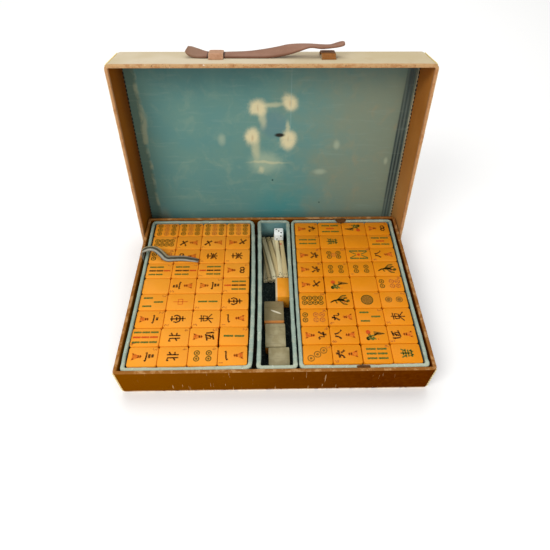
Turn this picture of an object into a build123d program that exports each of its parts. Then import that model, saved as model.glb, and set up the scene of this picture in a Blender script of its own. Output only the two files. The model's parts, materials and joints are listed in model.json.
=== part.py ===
"""A leather-covered game case with a lid that swings on two side rivets.

The base holds three cloth-covered trays: two full of tiles in two layers, and a narrow middle one
with counting sticks, a die and spare tiles. Millimetres. X runs across the case, +Y to its back and
+Z up; the origin is the middle of the base's underside. The lid stands open.
"""

import os
from math import asin, cos, degrees, radians, sin, sqrt, tan

from build123d import *

# Tiles and the slack round them
tile_length = 30.0
tile_width = 22.5
tile_thickness = 16.1
tile_gap = 0.2
tile_corner = 2.2
tile_edge = 1.0
tile_columns = 4
tile_rows = 9
block_slack_x = 3.2  # between a block of tiles and its tray's walls, both sides together
block_slack_y = 1.9
block_shift = 0.9  # each block of tiles sits this much nearer the middle of the case
loose_row = 7  # counted from the back; its last tile is tipped up
loose_tilt = 2.5
loose_shift = -0.15
loose_row_slip = 0.9

# Trays
tray_side_gap = 1.6  # from an outer tray to the base's wall
tray_end_gap = 1.0
tray_to_tray = 3.35  # from an outer tray to the middle one, on average
middle_tray_width = 41.5
middle_tray_shift = 1.5
tray_floor = 1.2
tray_card = 2.2
tray_cloth = 0.6
tray_floor_cloth = 0.4
tray_over_tiles = 2.3
rim_depth = 2.8  # the padded rim along the top of a tray's walls
rim_overhang = 0.2
rim_round = 1.3

# Case
corner_radius = 4.0
leather = 1.2  # outer skin of base and lid
base_board = 2.3  # stiff board behind the base's leather
base_lining = 0.4
rim_turn = 0.8  # the leather folded over the edges of the boards

# Lid
lid_side_gap = 1.0  # from the base's side to the lid's inner face
lid_front_gap = 1.5
lid_rear_gap = 0.4  # from the base's back to the lid's rear apron
lid_room = 9.0  # inside the closed lid, over the base's rim, for the ribbon's hump
lid_board = 1.7
lid_facing = 0.6  # thin leather on the inner walls, and the panel's lining
rim_lift = 0.5  # the closed lid's rim over the table
lid_open_angle = 100.5
lid_stand_gap = 0.3  # the open lid's rear edge over the table
lid_rear_round = 1.1
apron_swing_gap = 0.4  # from the apron's lower edge to the base as the lid swings

# Pivot rivets
pivot_setback = 13.1  # from the base's back
pivot_radius = 2.5
pivot_running_gap = 0.05
pivot_seat_gap = 0.02  # round the shank in the base's wall
pivot_head_radius = 5.0
pivot_head = 1.2
pivot_washer = 0.8
pivot_burr = 1.0
pivot_end_gap = 0.1  # between a rivet's head and the lid

# Handle
keeper_spacing = 114.0
keeper_width = 15.0
keeper_thickness = 1.4
keeper_foot = 4.5
strap_width = 16.0
strap_thickness = 2.6
strap_gap = 0.3  # all round the strap where it passes its keeper
strap_rise = 0.3  # the flat stretch over the lid's wall
handle_height = 30.0  # the strap's middle over the lid's rim
empty_keeper_height = 5.0

# Small contents
grey_leans = (0.46, -0.10, -0.26)  # from front to back: -1 at the tray's left wall, 1 at its right
grey_front_gap = 0.9
grey_gap = 0.5
spare_gap = 0.8
spare_wall_gap = 0.6  # from the tile on its side to the tray's wall
stick_length = 74.0
stick_width = 6.2
stick_thickness = 2.0
stick_gap = 0.3
stick_wall_gap = 0.3
die_side = 12.0
die_corner = 1.2
die_wall_gap = 1.5
ribbon_width = 6.0
ribbon_thickness = 0.8
ribbon_y = 44.0  # where the ribbon leaves the tray
ribbon_tuck = 10.0  # how far it reaches down beside the tray
ribbon_turn = -5.0  # its lie, seen from above
ribbon_lift = 0.3  # over the tiles
ribbon_hump = 4.9  # over the tray's rim
tab_width = 15.0
tab_thickness = 0.8
tab_reach = 7.5  # over the tray's rim
tab_drop = 12.0  # down its outside
tab_gap = 0.1
tab_bend = 0.8
tab_shift = 1.5

# Worked out from the sizes above
base_wall = leather + base_board
floor_top = base_wall + base_lining
tray_wall = tray_card + 2 * tray_cloth
tile_pitch_x = tile_length + tile_gap
tile_pitch_y = tile_width + tile_gap
tray_width = tile_columns * tile_pitch_x + block_slack_x + 2 * tray_wall
tray_depth = tile_rows * tile_pitch_y + block_slack_y + 2 * tray_wall
tray_height = tray_floor + tray_floor_cloth + 2 * tile_thickness + tray_over_tiles
base_height = floor_top + tray_height
side_tray_room = tray_width + tray_side_gap + base_wall
case_width = 2 * (side_tray_room + tray_to_tray) + middle_tray_width
case_depth = tray_depth + 2 * (tray_end_gap + base_wall)
half_width = case_width / 2
half_depth = case_depth / 2
lid_wall = leather + lid_board + lid_facing
lid_half_width = half_width + lid_side_gap + lid_wall
lid_front = half_depth + lid_front_gap + lid_wall
lid_rear = half_depth + lid_rear_gap
lid_end = lid_rear + leather
lid_under = base_height + lid_room
lid_top = lid_under + lid_wall
lid_corner = corner_radius + lid_side_gap
pivot_y = half_depth - pivot_setback
swing_sin = sin(radians(lid_open_angle))
swing_cos = cos(radians(lid_open_angle))
rear_edge_y = lid_end - lid_rear_round
rear_edge_z = lid_top - lid_rear_round
# the height at which the open lid stands on its rear edge
pivot_z = (
    lid_stand_gap + lid_rear_round + (rear_edge_y - pivot_y) * swing_sin - rear_edge_z * swing_cos
) / (1 - swing_cos)
rear_rim_reach = sqrt(pivot_setback**2 + (base_height - pivot_z) ** 2) + apron_swing_gap
# the apron's lower edge clears the base's rear rim on the way, and its back when the lid is open
apron_past_rim = sqrt(rear_rim_reach**2 - (lid_rear - pivot_y) ** 2)
apron_past_back = (pivot_setback + apron_swing_gap - (lid_end - pivot_y) * swing_cos) / swing_sin
apron_bottom = pivot_z + max(apron_past_rim, apron_past_back)
tray_base = floor_top
tray_floor_top = tray_base + tray_floor + tray_floor_cloth
tray_top = tray_base + tray_height
side_tray_x = half_width - base_wall - tray_side_gap - tray_width / 2

# The lid is drawn in the place that it has when it is closed, on a frame that swings it open
lid_plane = Plane(
    origin=(
        0,
        pivot_y - pivot_y * swing_cos - pivot_z * swing_sin,
        pivot_z + pivot_y * swing_sin - pivot_z * swing_cos,
    ),
    x_dir=(1, 0, 0),
    z_dir=(0, swing_sin, swing_cos),
)
# its side seen from the right: x towards its rear, y towards its panel
lid_side_plane = Plane(origin=lid_plane.origin, x_dir=lid_plane.y_dir, z_dir=(1, 0, 0))
# its front wall seen from outside: x across, y towards its panel
handle_plane = Plane(
    origin=lid_plane.from_local_coords(Vector(0, -lid_front, rim_lift + handle_height)),
    x_dir=(1, 0, 0),
    z_dir=-lid_plane.y_dir,
)

os.makedirs("parts", exist_ok=True)
written = []


def write(part, name):
    """Labels a finished piece and writes it as its own STEP file."""
    part.label = name
    export_step(part, f"parts/{name}.step")
    written.append(name)


def wall_side(side, width, depth, corner, thickness):
    """Draws one side of a ring of walls, mitred at its corners, in the open sketch."""
    RectangleRounded(width, depth, corner)
    inner = max(corner - thickness, 0.05)
    RectangleRounded(width - 2 * thickness, depth - 2 * thickness, inner, mode=Mode.SUBTRACT)
    reach = corner + 2 * thickness
    x, y = width / 2, depth / 2
    front = [(-x - 1, -y - 1), (x + 1, -y - 1), (x - reach, -y + reach), (-x + reach, -y + reach)]
    right = [(x + 1, -y - 1), (x + 1, y + 1), (x - reach, y - reach), (x - reach, -y + reach)]
    outlines = {
        "front": front,
        "back": [(-a, -b) for a, b in front],
        "right": right,
        "left": [(-a, -b) for a, b in right],
    }
    with BuildLine() as mitre:
        Polyline(*outlines[side], close=True)
    make_face(mitre.edges(), mode=Mode.INTERSECT)


def pivot_bore(radius):
    """Drills both side walls of the piece being built for the pivot rivets."""
    with BuildSketch(Plane.YZ.offset(-lid_half_width - 1)) as bores:
        with Locations((pivot_y, pivot_z)):
            Circle(radius)
    extrude(bores.sketch, amount=2 * lid_half_width + 2, mode=Mode.SUBTRACT)


# Base: board box in a leather skin
with BuildPart() as base_bottom_leather:
    with BuildSketch():
        RectangleRounded(case_width, case_depth, corner_radius)
    extrude(amount=leather)
write(base_bottom_leather.part, "base_bottom_leather")

board_corner = corner_radius - leather
board_width = case_width - 2 * leather
board_depth = case_depth - 2 * leather
with BuildPart() as base_floor_board:
    with BuildSketch(Plane.XY.offset(leather)):
        RectangleRounded(board_width, board_depth, board_corner)
    extrude(amount=base_board)
write(base_floor_board.part, "base_floor_board")

for side in ("front", "back", "left", "right"):
    with BuildPart() as base_leather_side:
        with BuildSketch(Plane.XY.offset(leather)):
            wall_side(side, case_width, case_depth, corner_radius, leather)
        extrude(amount=base_height - leather)
        if side in ("left", "right"):
            pivot_bore(pivot_radius + pivot_seat_gap)
    write(base_leather_side.part, f"base_{side}_leather")

    with BuildPart() as base_board_side:
        with BuildSketch(Plane.XY.offset(base_wall)):
            wall_side(side, board_width, board_depth, board_corner, base_board)
        extrude(amount=base_height - rim_turn - base_wall)
        if side in ("left", "right"):
            pivot_bore(pivot_radius + pivot_seat_gap)
    write(base_board_side.part, f"base_{side}_board")

with BuildPart() as base_lining_paper:
    with BuildSketch(Plane.XY.offset(base_wall)):
        lining_corner = board_corner - base_board
        RectangleRounded(case_width - 2 * base_wall, case_depth - 2 * base_wall, lining_corner)
    extrude(amount=base_lining)
write(base_lining_paper.part, "base_lining")

# Pivot rivets: a headed shank through the lid's wall, a washer, the base's wall and a burr
head_face = lid_half_width + pivot_end_gap
inner_face = half_width - base_wall
with BuildPart() as pivot_rivets:
    for side in (-1, 1):
        with BuildSketch(Plane.YZ.offset(side * head_face)):
            with Locations((pivot_y, pivot_z)):
                Circle(pivot_head_radius)
        extrude(amount=side * pivot_head)
        with BuildSketch(Plane.YZ.offset(side * (inner_face - pivot_burr))):
            with Locations((pivot_y, pivot_z)):
                Circle(pivot_radius)
        extrude(amount=side * (head_face - inner_face + pivot_burr))
write(pivot_rivets.part, "pivot_rivets")

with BuildPart() as pivot_washers:
    for side in (-1, 1):
        with BuildSketch(Plane.YZ.offset(side * half_width)):
            with Locations((pivot_y, pivot_z)):
                Circle(pivot_head_radius)
                Circle(pivot_radius + pivot_running_gap, mode=Mode.SUBTRACT)
        extrude(amount=side * pivot_washer)
write(pivot_washers.part, "pivot_washers")

with BuildPart() as pivot_burrs:
    for side in (-1, 1):
        with BuildSketch(Plane.YZ.offset(side * (inner_face - pivot_burr))):
            with Locations((pivot_y, pivot_z)):
                Circle(pivot_head_radius - 1)
                Circle(pivot_radius + pivot_seat_gap, mode=Mode.SUBTRACT)
        extrude(amount=side * pivot_burr)
write(pivot_burrs.part, "pivot_burrs")


# Lid: the same build
def lid_outline(inset, rear, corner):
    """The panel's outline, set in from the lid's outside, as far back as rear."""
    width = 2 * (lid_half_width - inset)
    front = -lid_front + inset
    with Locations((0, (front + rear + corner) / 2)):
        RectangleRounded(width, rear + corner - front, corner)
    with Locations((0, (front + rear) / 2)):
        Rectangle(width, rear - front, mode=Mode.INTERSECT)


def clip_lid_side(low, top, bore):
    """Ends a side wall at the apron, rounds its tail about the rivets and drills it."""
    with BuildSketch(lid_side_plane.offset(-lid_half_width - 1)) as profile:
        tail_radius = pivot_z - low
        tail = pivot_z - sqrt(tail_radius**2 - (lid_rear - pivot_y) ** 2)
        with BuildLine():
            Polyline(
                (pivot_y, low),
                (-lid_front - 1, low),
                (-lid_front - 1, top),
                (lid_rear, top),
                (lid_rear, tail),
            )
            RadiusArc((lid_rear, tail), (pivot_y, low), tail_radius)
        make_face()
        with Locations((pivot_y, pivot_z)):
            Circle(bore, mode=Mode.SUBTRACT)
    extrude(profile.sketch, amount=2 * lid_half_width + 2, mode=Mode.INTERSECT)


with BuildPart() as lid_top_leather:
    with BuildSketch(lid_plane.offset(lid_top - leather)):
        lid_outline(0, lid_end, lid_corner)
    extrude(amount=leather)
    rear_edges = lid_top_leather.edges().filter_by(Axis.X).sort_by(Axis.Z)
    upper_rear = max(rear_edges[:2], key=lambda edge: edge.center().Y)
    fillet(upper_rear, lid_rear_round)
write(lid_top_leather.part, "lid_top_leather")

with BuildPart() as lid_top_board:
    with BuildSketch(lid_plane.offset(lid_top - leather - lid_board)):
        lid_outline(leather, lid_rear, lid_corner - leather)
    extrude(amount=lid_board)
write(lid_top_board.part, "lid_top_board")

with BuildPart() as lid_lining:
    with BuildSketch(lid_plane.offset(lid_under)):
        lid_outline(lid_wall, lid_rear, lid_corner - lid_wall)
    extrude(amount=lid_facing)
write(lid_lining.part, "lid_lining")

# each layer of a wall: (inset, thickness, lowest, highest)
board_rim = rim_lift + rim_turn
panel_board = lid_top - leather - lid_board
layers = {
    "leather": (0, leather, rim_lift, lid_top - leather),
    "board": (leather, lid_board, board_rim, panel_board),
    "facing": (leather + lid_board, lid_facing, rim_lift, panel_board),
}
for layer, (inset, thickness, low, top) in layers.items():
    for side in ("front", "left", "right"):
        with BuildPart() as lid_side:
            with BuildSketch(lid_plane.offset(low)):
                ring_width = 2 * (lid_half_width - inset)
                ring_depth = 2 * (lid_front - inset)
                wall_side(side, ring_width, ring_depth, lid_corner - inset, thickness)
            extrude(amount=top - low)
            if side != "front":
                clip_lid_side(low, top, pivot_radius + pivot_running_gap)
        write(lid_side.part, f"lid_{side}_{layer}")

with BuildPart() as lid_rear_apron:
    with BuildSketch(lid_plane.offset(apron_bottom)):
        with Locations((0, (lid_rear + lid_end) / 2)):
            Rectangle(2 * lid_half_width, leather)
    extrude(amount=lid_top - leather - apron_bottom)
write(lid_rear_apron.part, "lid_rear_apron")


# Handle: a strap through the left keeper; the right keeper stands empty
def keeper(x, height):
    """A band sewn to the lid's front wall, arched over the strap's way."""
    across = Plane(
        origin=handle_plane.from_local_coords(Vector(x - keeper_width / 2, 0, 0)),
        x_dir=handle_plane.y_dir,
        z_dir=(1, 0, 0),
    )
    inside = strap_width / 2 + strap_gap
    outside = inside + keeper_thickness
    foot = outside + keeper_foot
    with BuildSketch(across) as band:
        with BuildLine():
            Polyline(
                (-foot, 0),
                (-inside, 0),
                (-inside, height),
                (inside, height),
                (inside, 0),
                (foot, 0),
                (foot, keeper_thickness),
                (outside, keeper_thickness),
                (outside, height + keeper_thickness),
                (-outside, height + keeper_thickness),
                (-outside, keeper_thickness),
                (-foot, keeper_thickness),
                close=True,
            )
        make_face()
    extrude(band.sketch, amount=keeper_width)


with BuildPart() as handle_keeper_left:
    keeper(-keeper_spacing / 2, strap_rise + strap_thickness + strap_gap)
write(handle_keeper_left.part, "handle_keeper_left")

with BuildPart() as handle_keeper_right:
    keeper(keeper_spacing / 2, empty_keeper_height)
write(handle_keeper_right.part, "handle_keeper_right")

strap_flat = strap_rise + strap_thickness / 2
strap_line = [
    (-85, strap_flat + 6.5),
    (-74, strap_flat + 1.5),
    (-64, strap_flat),
    (-12, strap_flat),
    (10, strap_flat + 4),
    (34, strap_flat + 13),
    (54, strap_flat + 13.5),
    (64, strap_flat + 12.5),
    (80, strap_flat + 18),
]
strap_side_plane = Plane(
    origin=handle_plane.from_local_coords(Vector(0, strap_width / 2, 0)),
    x_dir=(1, 0, 0),
    z_dir=-handle_plane.y_dir,
)
with BuildPart() as handle_strap:
    with BuildSketch(strap_side_plane):
        with BuildLine():
            FilletPolyline(*strap_line, radius=14)
        trace(line_width=strap_thickness)
    extrude(amount=strap_width)
write(handle_strap.part, "handle_strap")


# Trays: card boxes lined and covered in cloth, with a padded rim
def tray(name, x, width):
    """Writes a tray's card, its cloth and its rim."""
    wall_top = tray_top - rim_depth
    with BuildPart() as card:
        with BuildSketch(Plane.XY.offset(tray_base)):
            with Locations((x, 0)):
                Rectangle(width - 2 * tray_cloth, tray_depth - 2 * tray_cloth)
        extrude(amount=tray_floor)
    walls = separate_walls(x, width, tray_cloth, tray_card, tray_base + tray_floor, wall_top)
    write(Compound(children=[card.part, *walls]), f"{name}_card")

    outer = separate_walls(x, width, 0, tray_cloth, tray_base, wall_top)
    inner_inset = tray_cloth + tray_card
    inner = separate_walls(x, width, inner_inset, tray_cloth, tray_base + tray_floor, wall_top)
    with BuildPart() as floor_cloth:
        with BuildSketch(Plane.XY.offset(tray_base + tray_floor)):
            with Locations((x, 0)):
                Rectangle(width - 2 * tray_wall, tray_depth - 2 * tray_wall)
        extrude(amount=tray_floor_cloth)
    write(Compound(children=[*outer, *inner, floor_cloth.part]), f"{name}_cloth")

    rim_inset = tray_wall + rim_overhang
    rim = separate_walls(x, width, 0, rim_inset, wall_top, tray_top, rim_round)
    write(Compound(children=rim), f"{name}_rim")


def separate_walls(x, width, inset, thickness, low, high, round_top=0.0):
    """A ring's four walls as solids of their own, the long ones between the short ones."""
    depth = tray_depth - 2 * inset
    wide = width - 2 * inset
    places = [
        (x, (depth - thickness) / 2, wide, thickness),
        (x, -(depth - thickness) / 2, wide, thickness),
        (x + (wide - thickness) / 2, 0, thickness, depth - 2 * thickness),
        (x - (wide - thickness) / 2, 0, thickness, depth - 2 * thickness),
    ]
    walls = []
    for at_x, at_y, long_x, long_y in places:
        with BuildPart() as wall:
            with BuildSketch(Plane.XY.offset(low)):
                with Locations((at_x, at_y)):
                    Rectangle(long_x, long_y)
            extrude(amount=high - low)
            if round_top:
                along = Axis.X if long_x > long_y else Axis.Y
                top_edges = wall.faces().sort_by(Axis.Z)[-1].edges().filter_by(along)
                fillet(top_edges, round_top)
        walls.append(wall.part)
    return walls


middle_x = middle_tray_shift
tray("left_tray", -side_tray_x, tray_width)
tray("centre_tray", middle_x, middle_tray_width)
tray("right_tray", side_tray_x, tray_width)

# Tiles: one rounded block, repeated
with BuildPart() as tile:
    with BuildSketch():
        RectangleRounded(tile_length, tile_width, tile_corner)
    extrude(amount=tile_thickness)
    fillet(tile.faces().sort_by(Axis.Z)[-1].edges(), tile_edge)
    fillet(tile.faces().sort_by(Axis.Z)[0].edges(), tile_edge)


def tile_place(block_x, column, row, level):
    """The middle of a tile's underside; rows count from the back, levels from the floor."""
    x = block_x + (column - (tile_columns - 1) / 2) * tile_pitch_x
    y = ((tile_rows - 1) / 2 - row) * tile_pitch_y
    return x, y, tray_floor_top + level * tile_thickness


# how far the tiles of a row have slipped apart: (first row, last row, tiles moved left, distance)
slips = {
    "left": [(loose_row, loose_row, tile_columns - 1, loose_row_slip)],
    "right": [(4, 4, 1, 0.5), (5, 5, 2, 0.5), (6, 8, 2, 0.4)],
}
block_middles = {"left": -side_tray_x + block_shift, "right": side_tray_x - block_shift}
for name, block_x in block_middles.items():
    for level, level_name in enumerate(("lower", "upper")):
        tiles = []
        for row in range(tile_rows):
            for column in range(tile_columns):
                x, y, z = tile_place(block_x, column, row, level)
                slip = 0.0
                for first, last, count, distance in slips[name]:
                    if level and first <= row <= last and column < count:
                        slip = distance
                loose = (name, level, row, column) == ("left", 1, loose_row, tile_columns - 1)
                if loose:
                    lift = sin(radians(loose_tilt)) * tile_length / 2
                    place = Location((x + loose_shift, y, z + lift), (0, loose_tilt, 0))
                else:
                    place = Location((x - slip, y, z))
                tiles.append(tile.part.moved(place))
        write(Compound(children=tiles), f"{name}_tiles_{level_name}")

# Middle tray: spare tiles, one on its side, and the counting sticks with the die on them
inner_back = tray_depth / 2 - tray_wall
flat_tiles = []
grey_room = middle_tray_width / 2 - tray_wall - tile_width / 2
next_front = grey_front_gap - inner_back
for lean in grey_leans:
    middle = (middle_x + lean * grey_room, next_front + tile_length / 2, tray_floor_top)
    flat_tiles.append(tile.part.moved(Location(middle, (0, 0, 90))))
    next_front += tile_length + grey_gap
write(Compound(children=flat_tiles), "grey_backed_tiles")

spare_x = middle_x + middle_tray_width / 2 - tray_wall - spare_wall_gap - tile_thickness
spare_y = next_front - grey_gap + spare_gap + tile_length / 2
spare_place = Plane(
    origin=(spare_x, spare_y, tray_floor_top + tile_width / 2), x_dir=(0, 1, 0), z_dir=(1, 0, 0)
)
with BuildPart() as spare_tile:
    add(tile.part.moved(spare_place.location))
write(spare_tile.part, "spare_tile")

with BuildPart() as stick:
    with BuildSketch():
        SlotOverall(stick_length, stick_width, rotation=90)
    extrude(amount=stick_thickness)

# each layer of sticks: (how many, share of the turn that the walls allow, place between the walls
# from 0 at the left to 1 at the right, gap at the back)
stick_layers = [
    (4, 0.0, 0.4, 0.5),
    (4, 0.4, 0.4, 0.9),
    (4, 0.85, 0.4, 1.3),
    (3, 0.8, 0.4, 2.1),
    (3, 0.9, 0.5, 3.1),
    (2, 0.2, 1.0, 0.8),
]
stick_room = middle_tray_width / 2 - tray_wall - stick_wall_gap
stick_straight = stick_length - stick_width
sticks = []
for level, (count, turn_share, lean, back_gap) in enumerate(stick_layers):
    spare = 2 * stick_room - count * (stick_width + stick_gap)
    turn = asin(turn_share * spare / stick_straight)
    reach = stick_straight / 2 * sin(turn) + stick_width / 2
    step = (stick_width + stick_gap) / cos(turn)
    first_x = reach - stick_room + lean * (2 * (stick_room - reach) - (count - 1) * step)
    middle_y = inner_back - back_gap - stick_length / 2
    z = tray_floor_top + level * stick_thickness
    for n in range(count):
        place = Location((middle_x + first_x + n * step, middle_y, z), (0, 0, degrees(turn)))
        sticks.append(stick.part.moved(place))
write(Compound(children=sticks), "tally_sticks")

# the die rests on the top pair of sticks
die_y = inner_back - die_wall_gap - die_side / 2
die_x = middle_x + first_x + step / 2 - (die_y - middle_y) * tan(turn)
with BuildPart() as die:
    with BuildSketch(Plane.XY.offset(tray_floor_top + len(stick_layers) * stick_thickness)):
        with Locations((die_x, die_y)):
            Rectangle(die_side, die_side)
    extrude(amount=die_side)
    fillet(die.edges(), die_corner)
write(die.part, "die")

# Ribbon pull: out of the gap beside the left tray, over its rim and across the tiles
tile_top = tray_floor_top + 2 * tile_thickness
ribbon_start_x = -side_tray_x - tray_width / 2 - tray_side_gap / 2
ribbon_lie = tile_top + ribbon_lift + ribbon_thickness / 2
ribbon_line = [
    (0, tray_top - ribbon_tuck),
    (0, tray_top + ribbon_hump),
    (9.0, tray_top + ribbon_hump),
    (21.0, ribbon_lie),
    (70.0, ribbon_lie),
]
ribbon_plane = Plane(
    origin=(ribbon_start_x, ribbon_y, 0),
    x_dir=(cos(radians(ribbon_turn)), sin(radians(ribbon_turn)), 0),
    z_dir=(sin(radians(ribbon_turn)), -cos(radians(ribbon_turn)), 0),
)
with BuildPart() as left_tray_ribbon:
    with BuildSketch(ribbon_plane.offset(-ribbon_width / 2)):
        with BuildLine():
            FilletPolyline(*ribbon_line, radius=[3.6, 4.0, 8.0])
        trace(line_width=ribbon_thickness)
    extrude(amount=ribbon_width)
write(left_tray_ribbon.part, "left_tray_ribbon")

# Leather tabs over the right tray's front and back rims
tab_x = side_tray_x - tab_shift
tab_outer = tray_depth / 2 + tab_thickness / 2 + tab_gap
tab_over = tray_top + tab_thickness / 2 + tab_gap
tab_line = [(tab_outer, tray_top - tab_drop), (tab_outer, tab_over), (tab_outer - tab_reach, tab_over)]
tabs = []
for side in (-1, 1):
    with BuildPart() as tab:
        with BuildSketch(Plane.YZ.offset(tab_x - tab_width / 2)):
            with BuildLine():
                FilletPolyline(*[(side * y, z) for y, z in tab_line], radius=tab_bend)
            trace(line_width=tab_thickness)
        extrude(amount=tab_width)
    tabs.append(tab.part)
write(Compound(children=tabs), "right_tray_tabs")

print(f"{len(written)} parts; pivot at y {pivot_y:.3f}, z {pivot_z:.3f}; apron from {apron_bottom:.2f}")
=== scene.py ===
# %% [markdown]
# # A leather game case, standing open
#
# The case is a shallow leather-covered box. Its lid swings on two side rivets, a leather strap runs
# through a keeper on the lid, and three cloth-covered trays inside it hold amber tiles, counting
# sticks and a die. The frame gives every piece its place and the bodies that move. This script only
# makes the looks: each piece below is built where the frame has it and told which body it rides on.

# %% Load the frame
import json
import math
import random

import bmesh
import bpy
import numpy as np
from mathutils import Euler, Matrix, Vector, noise


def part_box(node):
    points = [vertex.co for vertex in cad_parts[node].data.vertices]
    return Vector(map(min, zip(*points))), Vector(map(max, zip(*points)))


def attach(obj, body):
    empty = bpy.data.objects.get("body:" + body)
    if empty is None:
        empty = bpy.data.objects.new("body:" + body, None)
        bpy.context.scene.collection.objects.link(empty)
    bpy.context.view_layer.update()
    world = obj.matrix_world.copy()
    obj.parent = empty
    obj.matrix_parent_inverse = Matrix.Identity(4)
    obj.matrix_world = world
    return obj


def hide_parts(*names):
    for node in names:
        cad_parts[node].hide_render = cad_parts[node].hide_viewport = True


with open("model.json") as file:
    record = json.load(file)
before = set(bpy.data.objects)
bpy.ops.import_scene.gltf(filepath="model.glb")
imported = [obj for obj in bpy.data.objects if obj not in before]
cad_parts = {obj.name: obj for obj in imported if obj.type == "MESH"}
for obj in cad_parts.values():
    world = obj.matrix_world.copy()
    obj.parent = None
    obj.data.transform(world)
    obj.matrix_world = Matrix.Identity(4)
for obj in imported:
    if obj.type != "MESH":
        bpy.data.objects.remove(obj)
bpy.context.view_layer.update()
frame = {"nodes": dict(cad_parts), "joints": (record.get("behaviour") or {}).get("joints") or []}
MM = 0.001

# %% [markdown]
# ## Places and sizes
#
# The lid is easier to think of shut, as a plain upside-down tray. So its pieces are drawn shut, and
# one function swings each point open about the rivets, by the angle that the hinge joint has. Sizes
# are read from the frame's nodes where a node has them, so the looks follow the construction.

# %% Read the sizes and write the lid's swing
hinge = next(joint for joint in frame["joints"] if joint["name"] == "lid_hinge")
PIVOT_Y, PIVOT_Z = hinge["pos_m"][1], hinge["pos_m"][2]
OPEN = math.radians(-hinge["range_deg"][0])

HALF_W, HALF_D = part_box("base_bottom_leather")[1].xy
RIM_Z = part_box("base_front_leather")[1].z
LEATHER = 1.2 * MM
WALL = 3.5 * MM
TURNED = 0.8 * MM
LID_HALF_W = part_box("lid_top_leather")[1].x
LID_FRONT = HALF_D + 1.5 * MM + WALL
LID_REAR = HALF_D + 0.4 * MM
LID_END = LID_REAR + LEATHER
LID_RIM = 0.5 * MM
LID_UNDER = RIM_Z + 9.0 * MM
LID_TOP = LID_UNDER + WALL


def swing(points):
    """Carries points of the shut lid to where they are with the lid open."""
    points = np.asarray(points, float)
    y = points[..., 1] - PIVOT_Y
    z = points[..., 2] - PIVOT_Z
    out = points.copy()
    out[..., 1] = PIVOT_Y + y * math.cos(OPEN) + z * math.sin(OPEN)
    out[..., 2] = PIVOT_Z - y * math.sin(OPEN) + z * math.cos(OPEN)
    return out


print("pivot", round(PIVOT_Y, 4), round(PIVOT_Z, 4), "half width", round(HALF_W, 4))

# %% [markdown]
# ## Camera, floor and light
#
# The case is seen from in front and well above, through a lens near 29 mm. The floor is a pale
# sheet. A big soft light stands to the left in front, which leaves the lid's left wall darker than
# its right one, and a fainter one fills in from the right.

# %% Set the camera
def add_object(name, data):
    """Puts a mesh, curve, lamp or camera into the scene as an object."""
    made = bpy.data.objects.new(name, data)
    bpy.context.scene.collection.objects.link(made)
    return made


camera = add_object("camera", bpy.data.cameras.new("camera"))
camera.location = (-7.5 * MM, -316.5 * MM, 434.5 * MM)
camera.rotation_euler = [math.radians(turn) for turn in (39.848, -0.417, -1.095)]
camera.data.lens = 29.03
camera.data.clip_start = 0.01
bpy.context.scene.camera = camera
print("camera at", [round(part, 3) for part in camera.location])


# %% Light the floor
def area_light(name, place, target, size, power, tint=(1.0, 1.0, 1.0)):
    """A square soft light that faces its target."""
    light = add_object(name, bpy.data.lights.new(name, "AREA"))
    light.data.size = size
    light.data.energy = power
    light.data.color = tint
    light.location = place
    light.rotation_euler = (Vector(place) - Vector(target)).to_track_quat("Z", "Y").to_euler()


area_light("key", (-0.85, -0.8, 1.35), (0, 0.05, 0.05), 0.8, 14.0, (1.0, 0.985, 0.96))
area_light("front", (0.35, -1.2, 0.75), (0, 0.05, 0.08), 0.9, 4.6, (0.97, 0.98, 1.0))
area_light("back", (0.0, 1.1, 1.6), (0, 0.7, 0.0), 1.8, 19.0)

world = bpy.data.worlds.new("studio")
world.use_nodes = True
sky = world.node_tree.nodes["Background"]
sky.inputs["Color"].default_value = (1.0, 1.0, 1.0, 1.0)
sky.inputs["Strength"].default_value = 0.45
bpy.context.scene.world = world
bpy.context.scene.view_settings.view_transform = "Standard"
print("lights", [light.name for light in bpy.data.lights])

# %% [markdown]
# ## Node sums as Python
#
# Worn leather and stained cloth are masks mixed over base colours. Written as nodes by hand they
# are hard to read, so a small class wraps a socket and lets masks be added and multiplied as
# numbers are, with the number on either side. Every other node comes from one method, `Tree.node`,
# which the materials here and the Geometry Nodes further on share.


# %% Wrap a socket
def operator(operation, reflected=False):
    """The method behind an operator: one Math node that takes a value and another."""

    def work(self, other):
        pair = (other, self) if reflected else (self, other)
        return self.owner.node("ShaderNodeMath", {"operation": operation}, pair)

    return work


class Value:
    """A number that varies over a surface: an output socket that does sums."""

    def __init__(self, owner, socket):
        self.owner = owner
        self.socket = socket

    __add__ = __radd__ = operator("ADD")
    __mul__ = __rmul__ = operator("MULTIPLY")
    __sub__, __rsub__ = operator("SUBTRACT"), operator("SUBTRACT", reflected=True)
    __truediv__, __rtruediv__ = operator("DIVIDE"), operator("DIVIDE", reflected=True)
    __pow__, __rpow__ = operator("POWER"), operator("POWER", reflected=True)

    def abs(self):
        return self.owner.node("ShaderNodeMath", {"operation": "ABSOLUTE"}, (self,))

    def sine(self):
        return self.owner.node("ShaderNodeMath", {"operation": "SINE"}, (self,))

    def clamp(self):
        settings = {"operation": "ADD", "use_clamp": True}
        return self.owner.node("ShaderNodeMath", settings, (self, 0.0))

    def ramp(self, low, high):
        """0 at low, 1 at high, and smooth between them. High may lie under low."""
        sockets = {"Value": self, "From Min": low, "From Max": high}
        return self.owner.node("ShaderNodeMapRange", {"interpolation_type": "SMOOTHSTEP"}, sockets)

    def output(self, name):
        """Another output of the node that this value comes from."""
        return Value(self.owner, self.socket.node.outputs[name])


def methods(kind):
    """The names of a class's own methods, apart from those behind operators."""
    return [name for name in vars(kind) if name[0] != "_"]


print("a value has", methods(Value))


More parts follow.
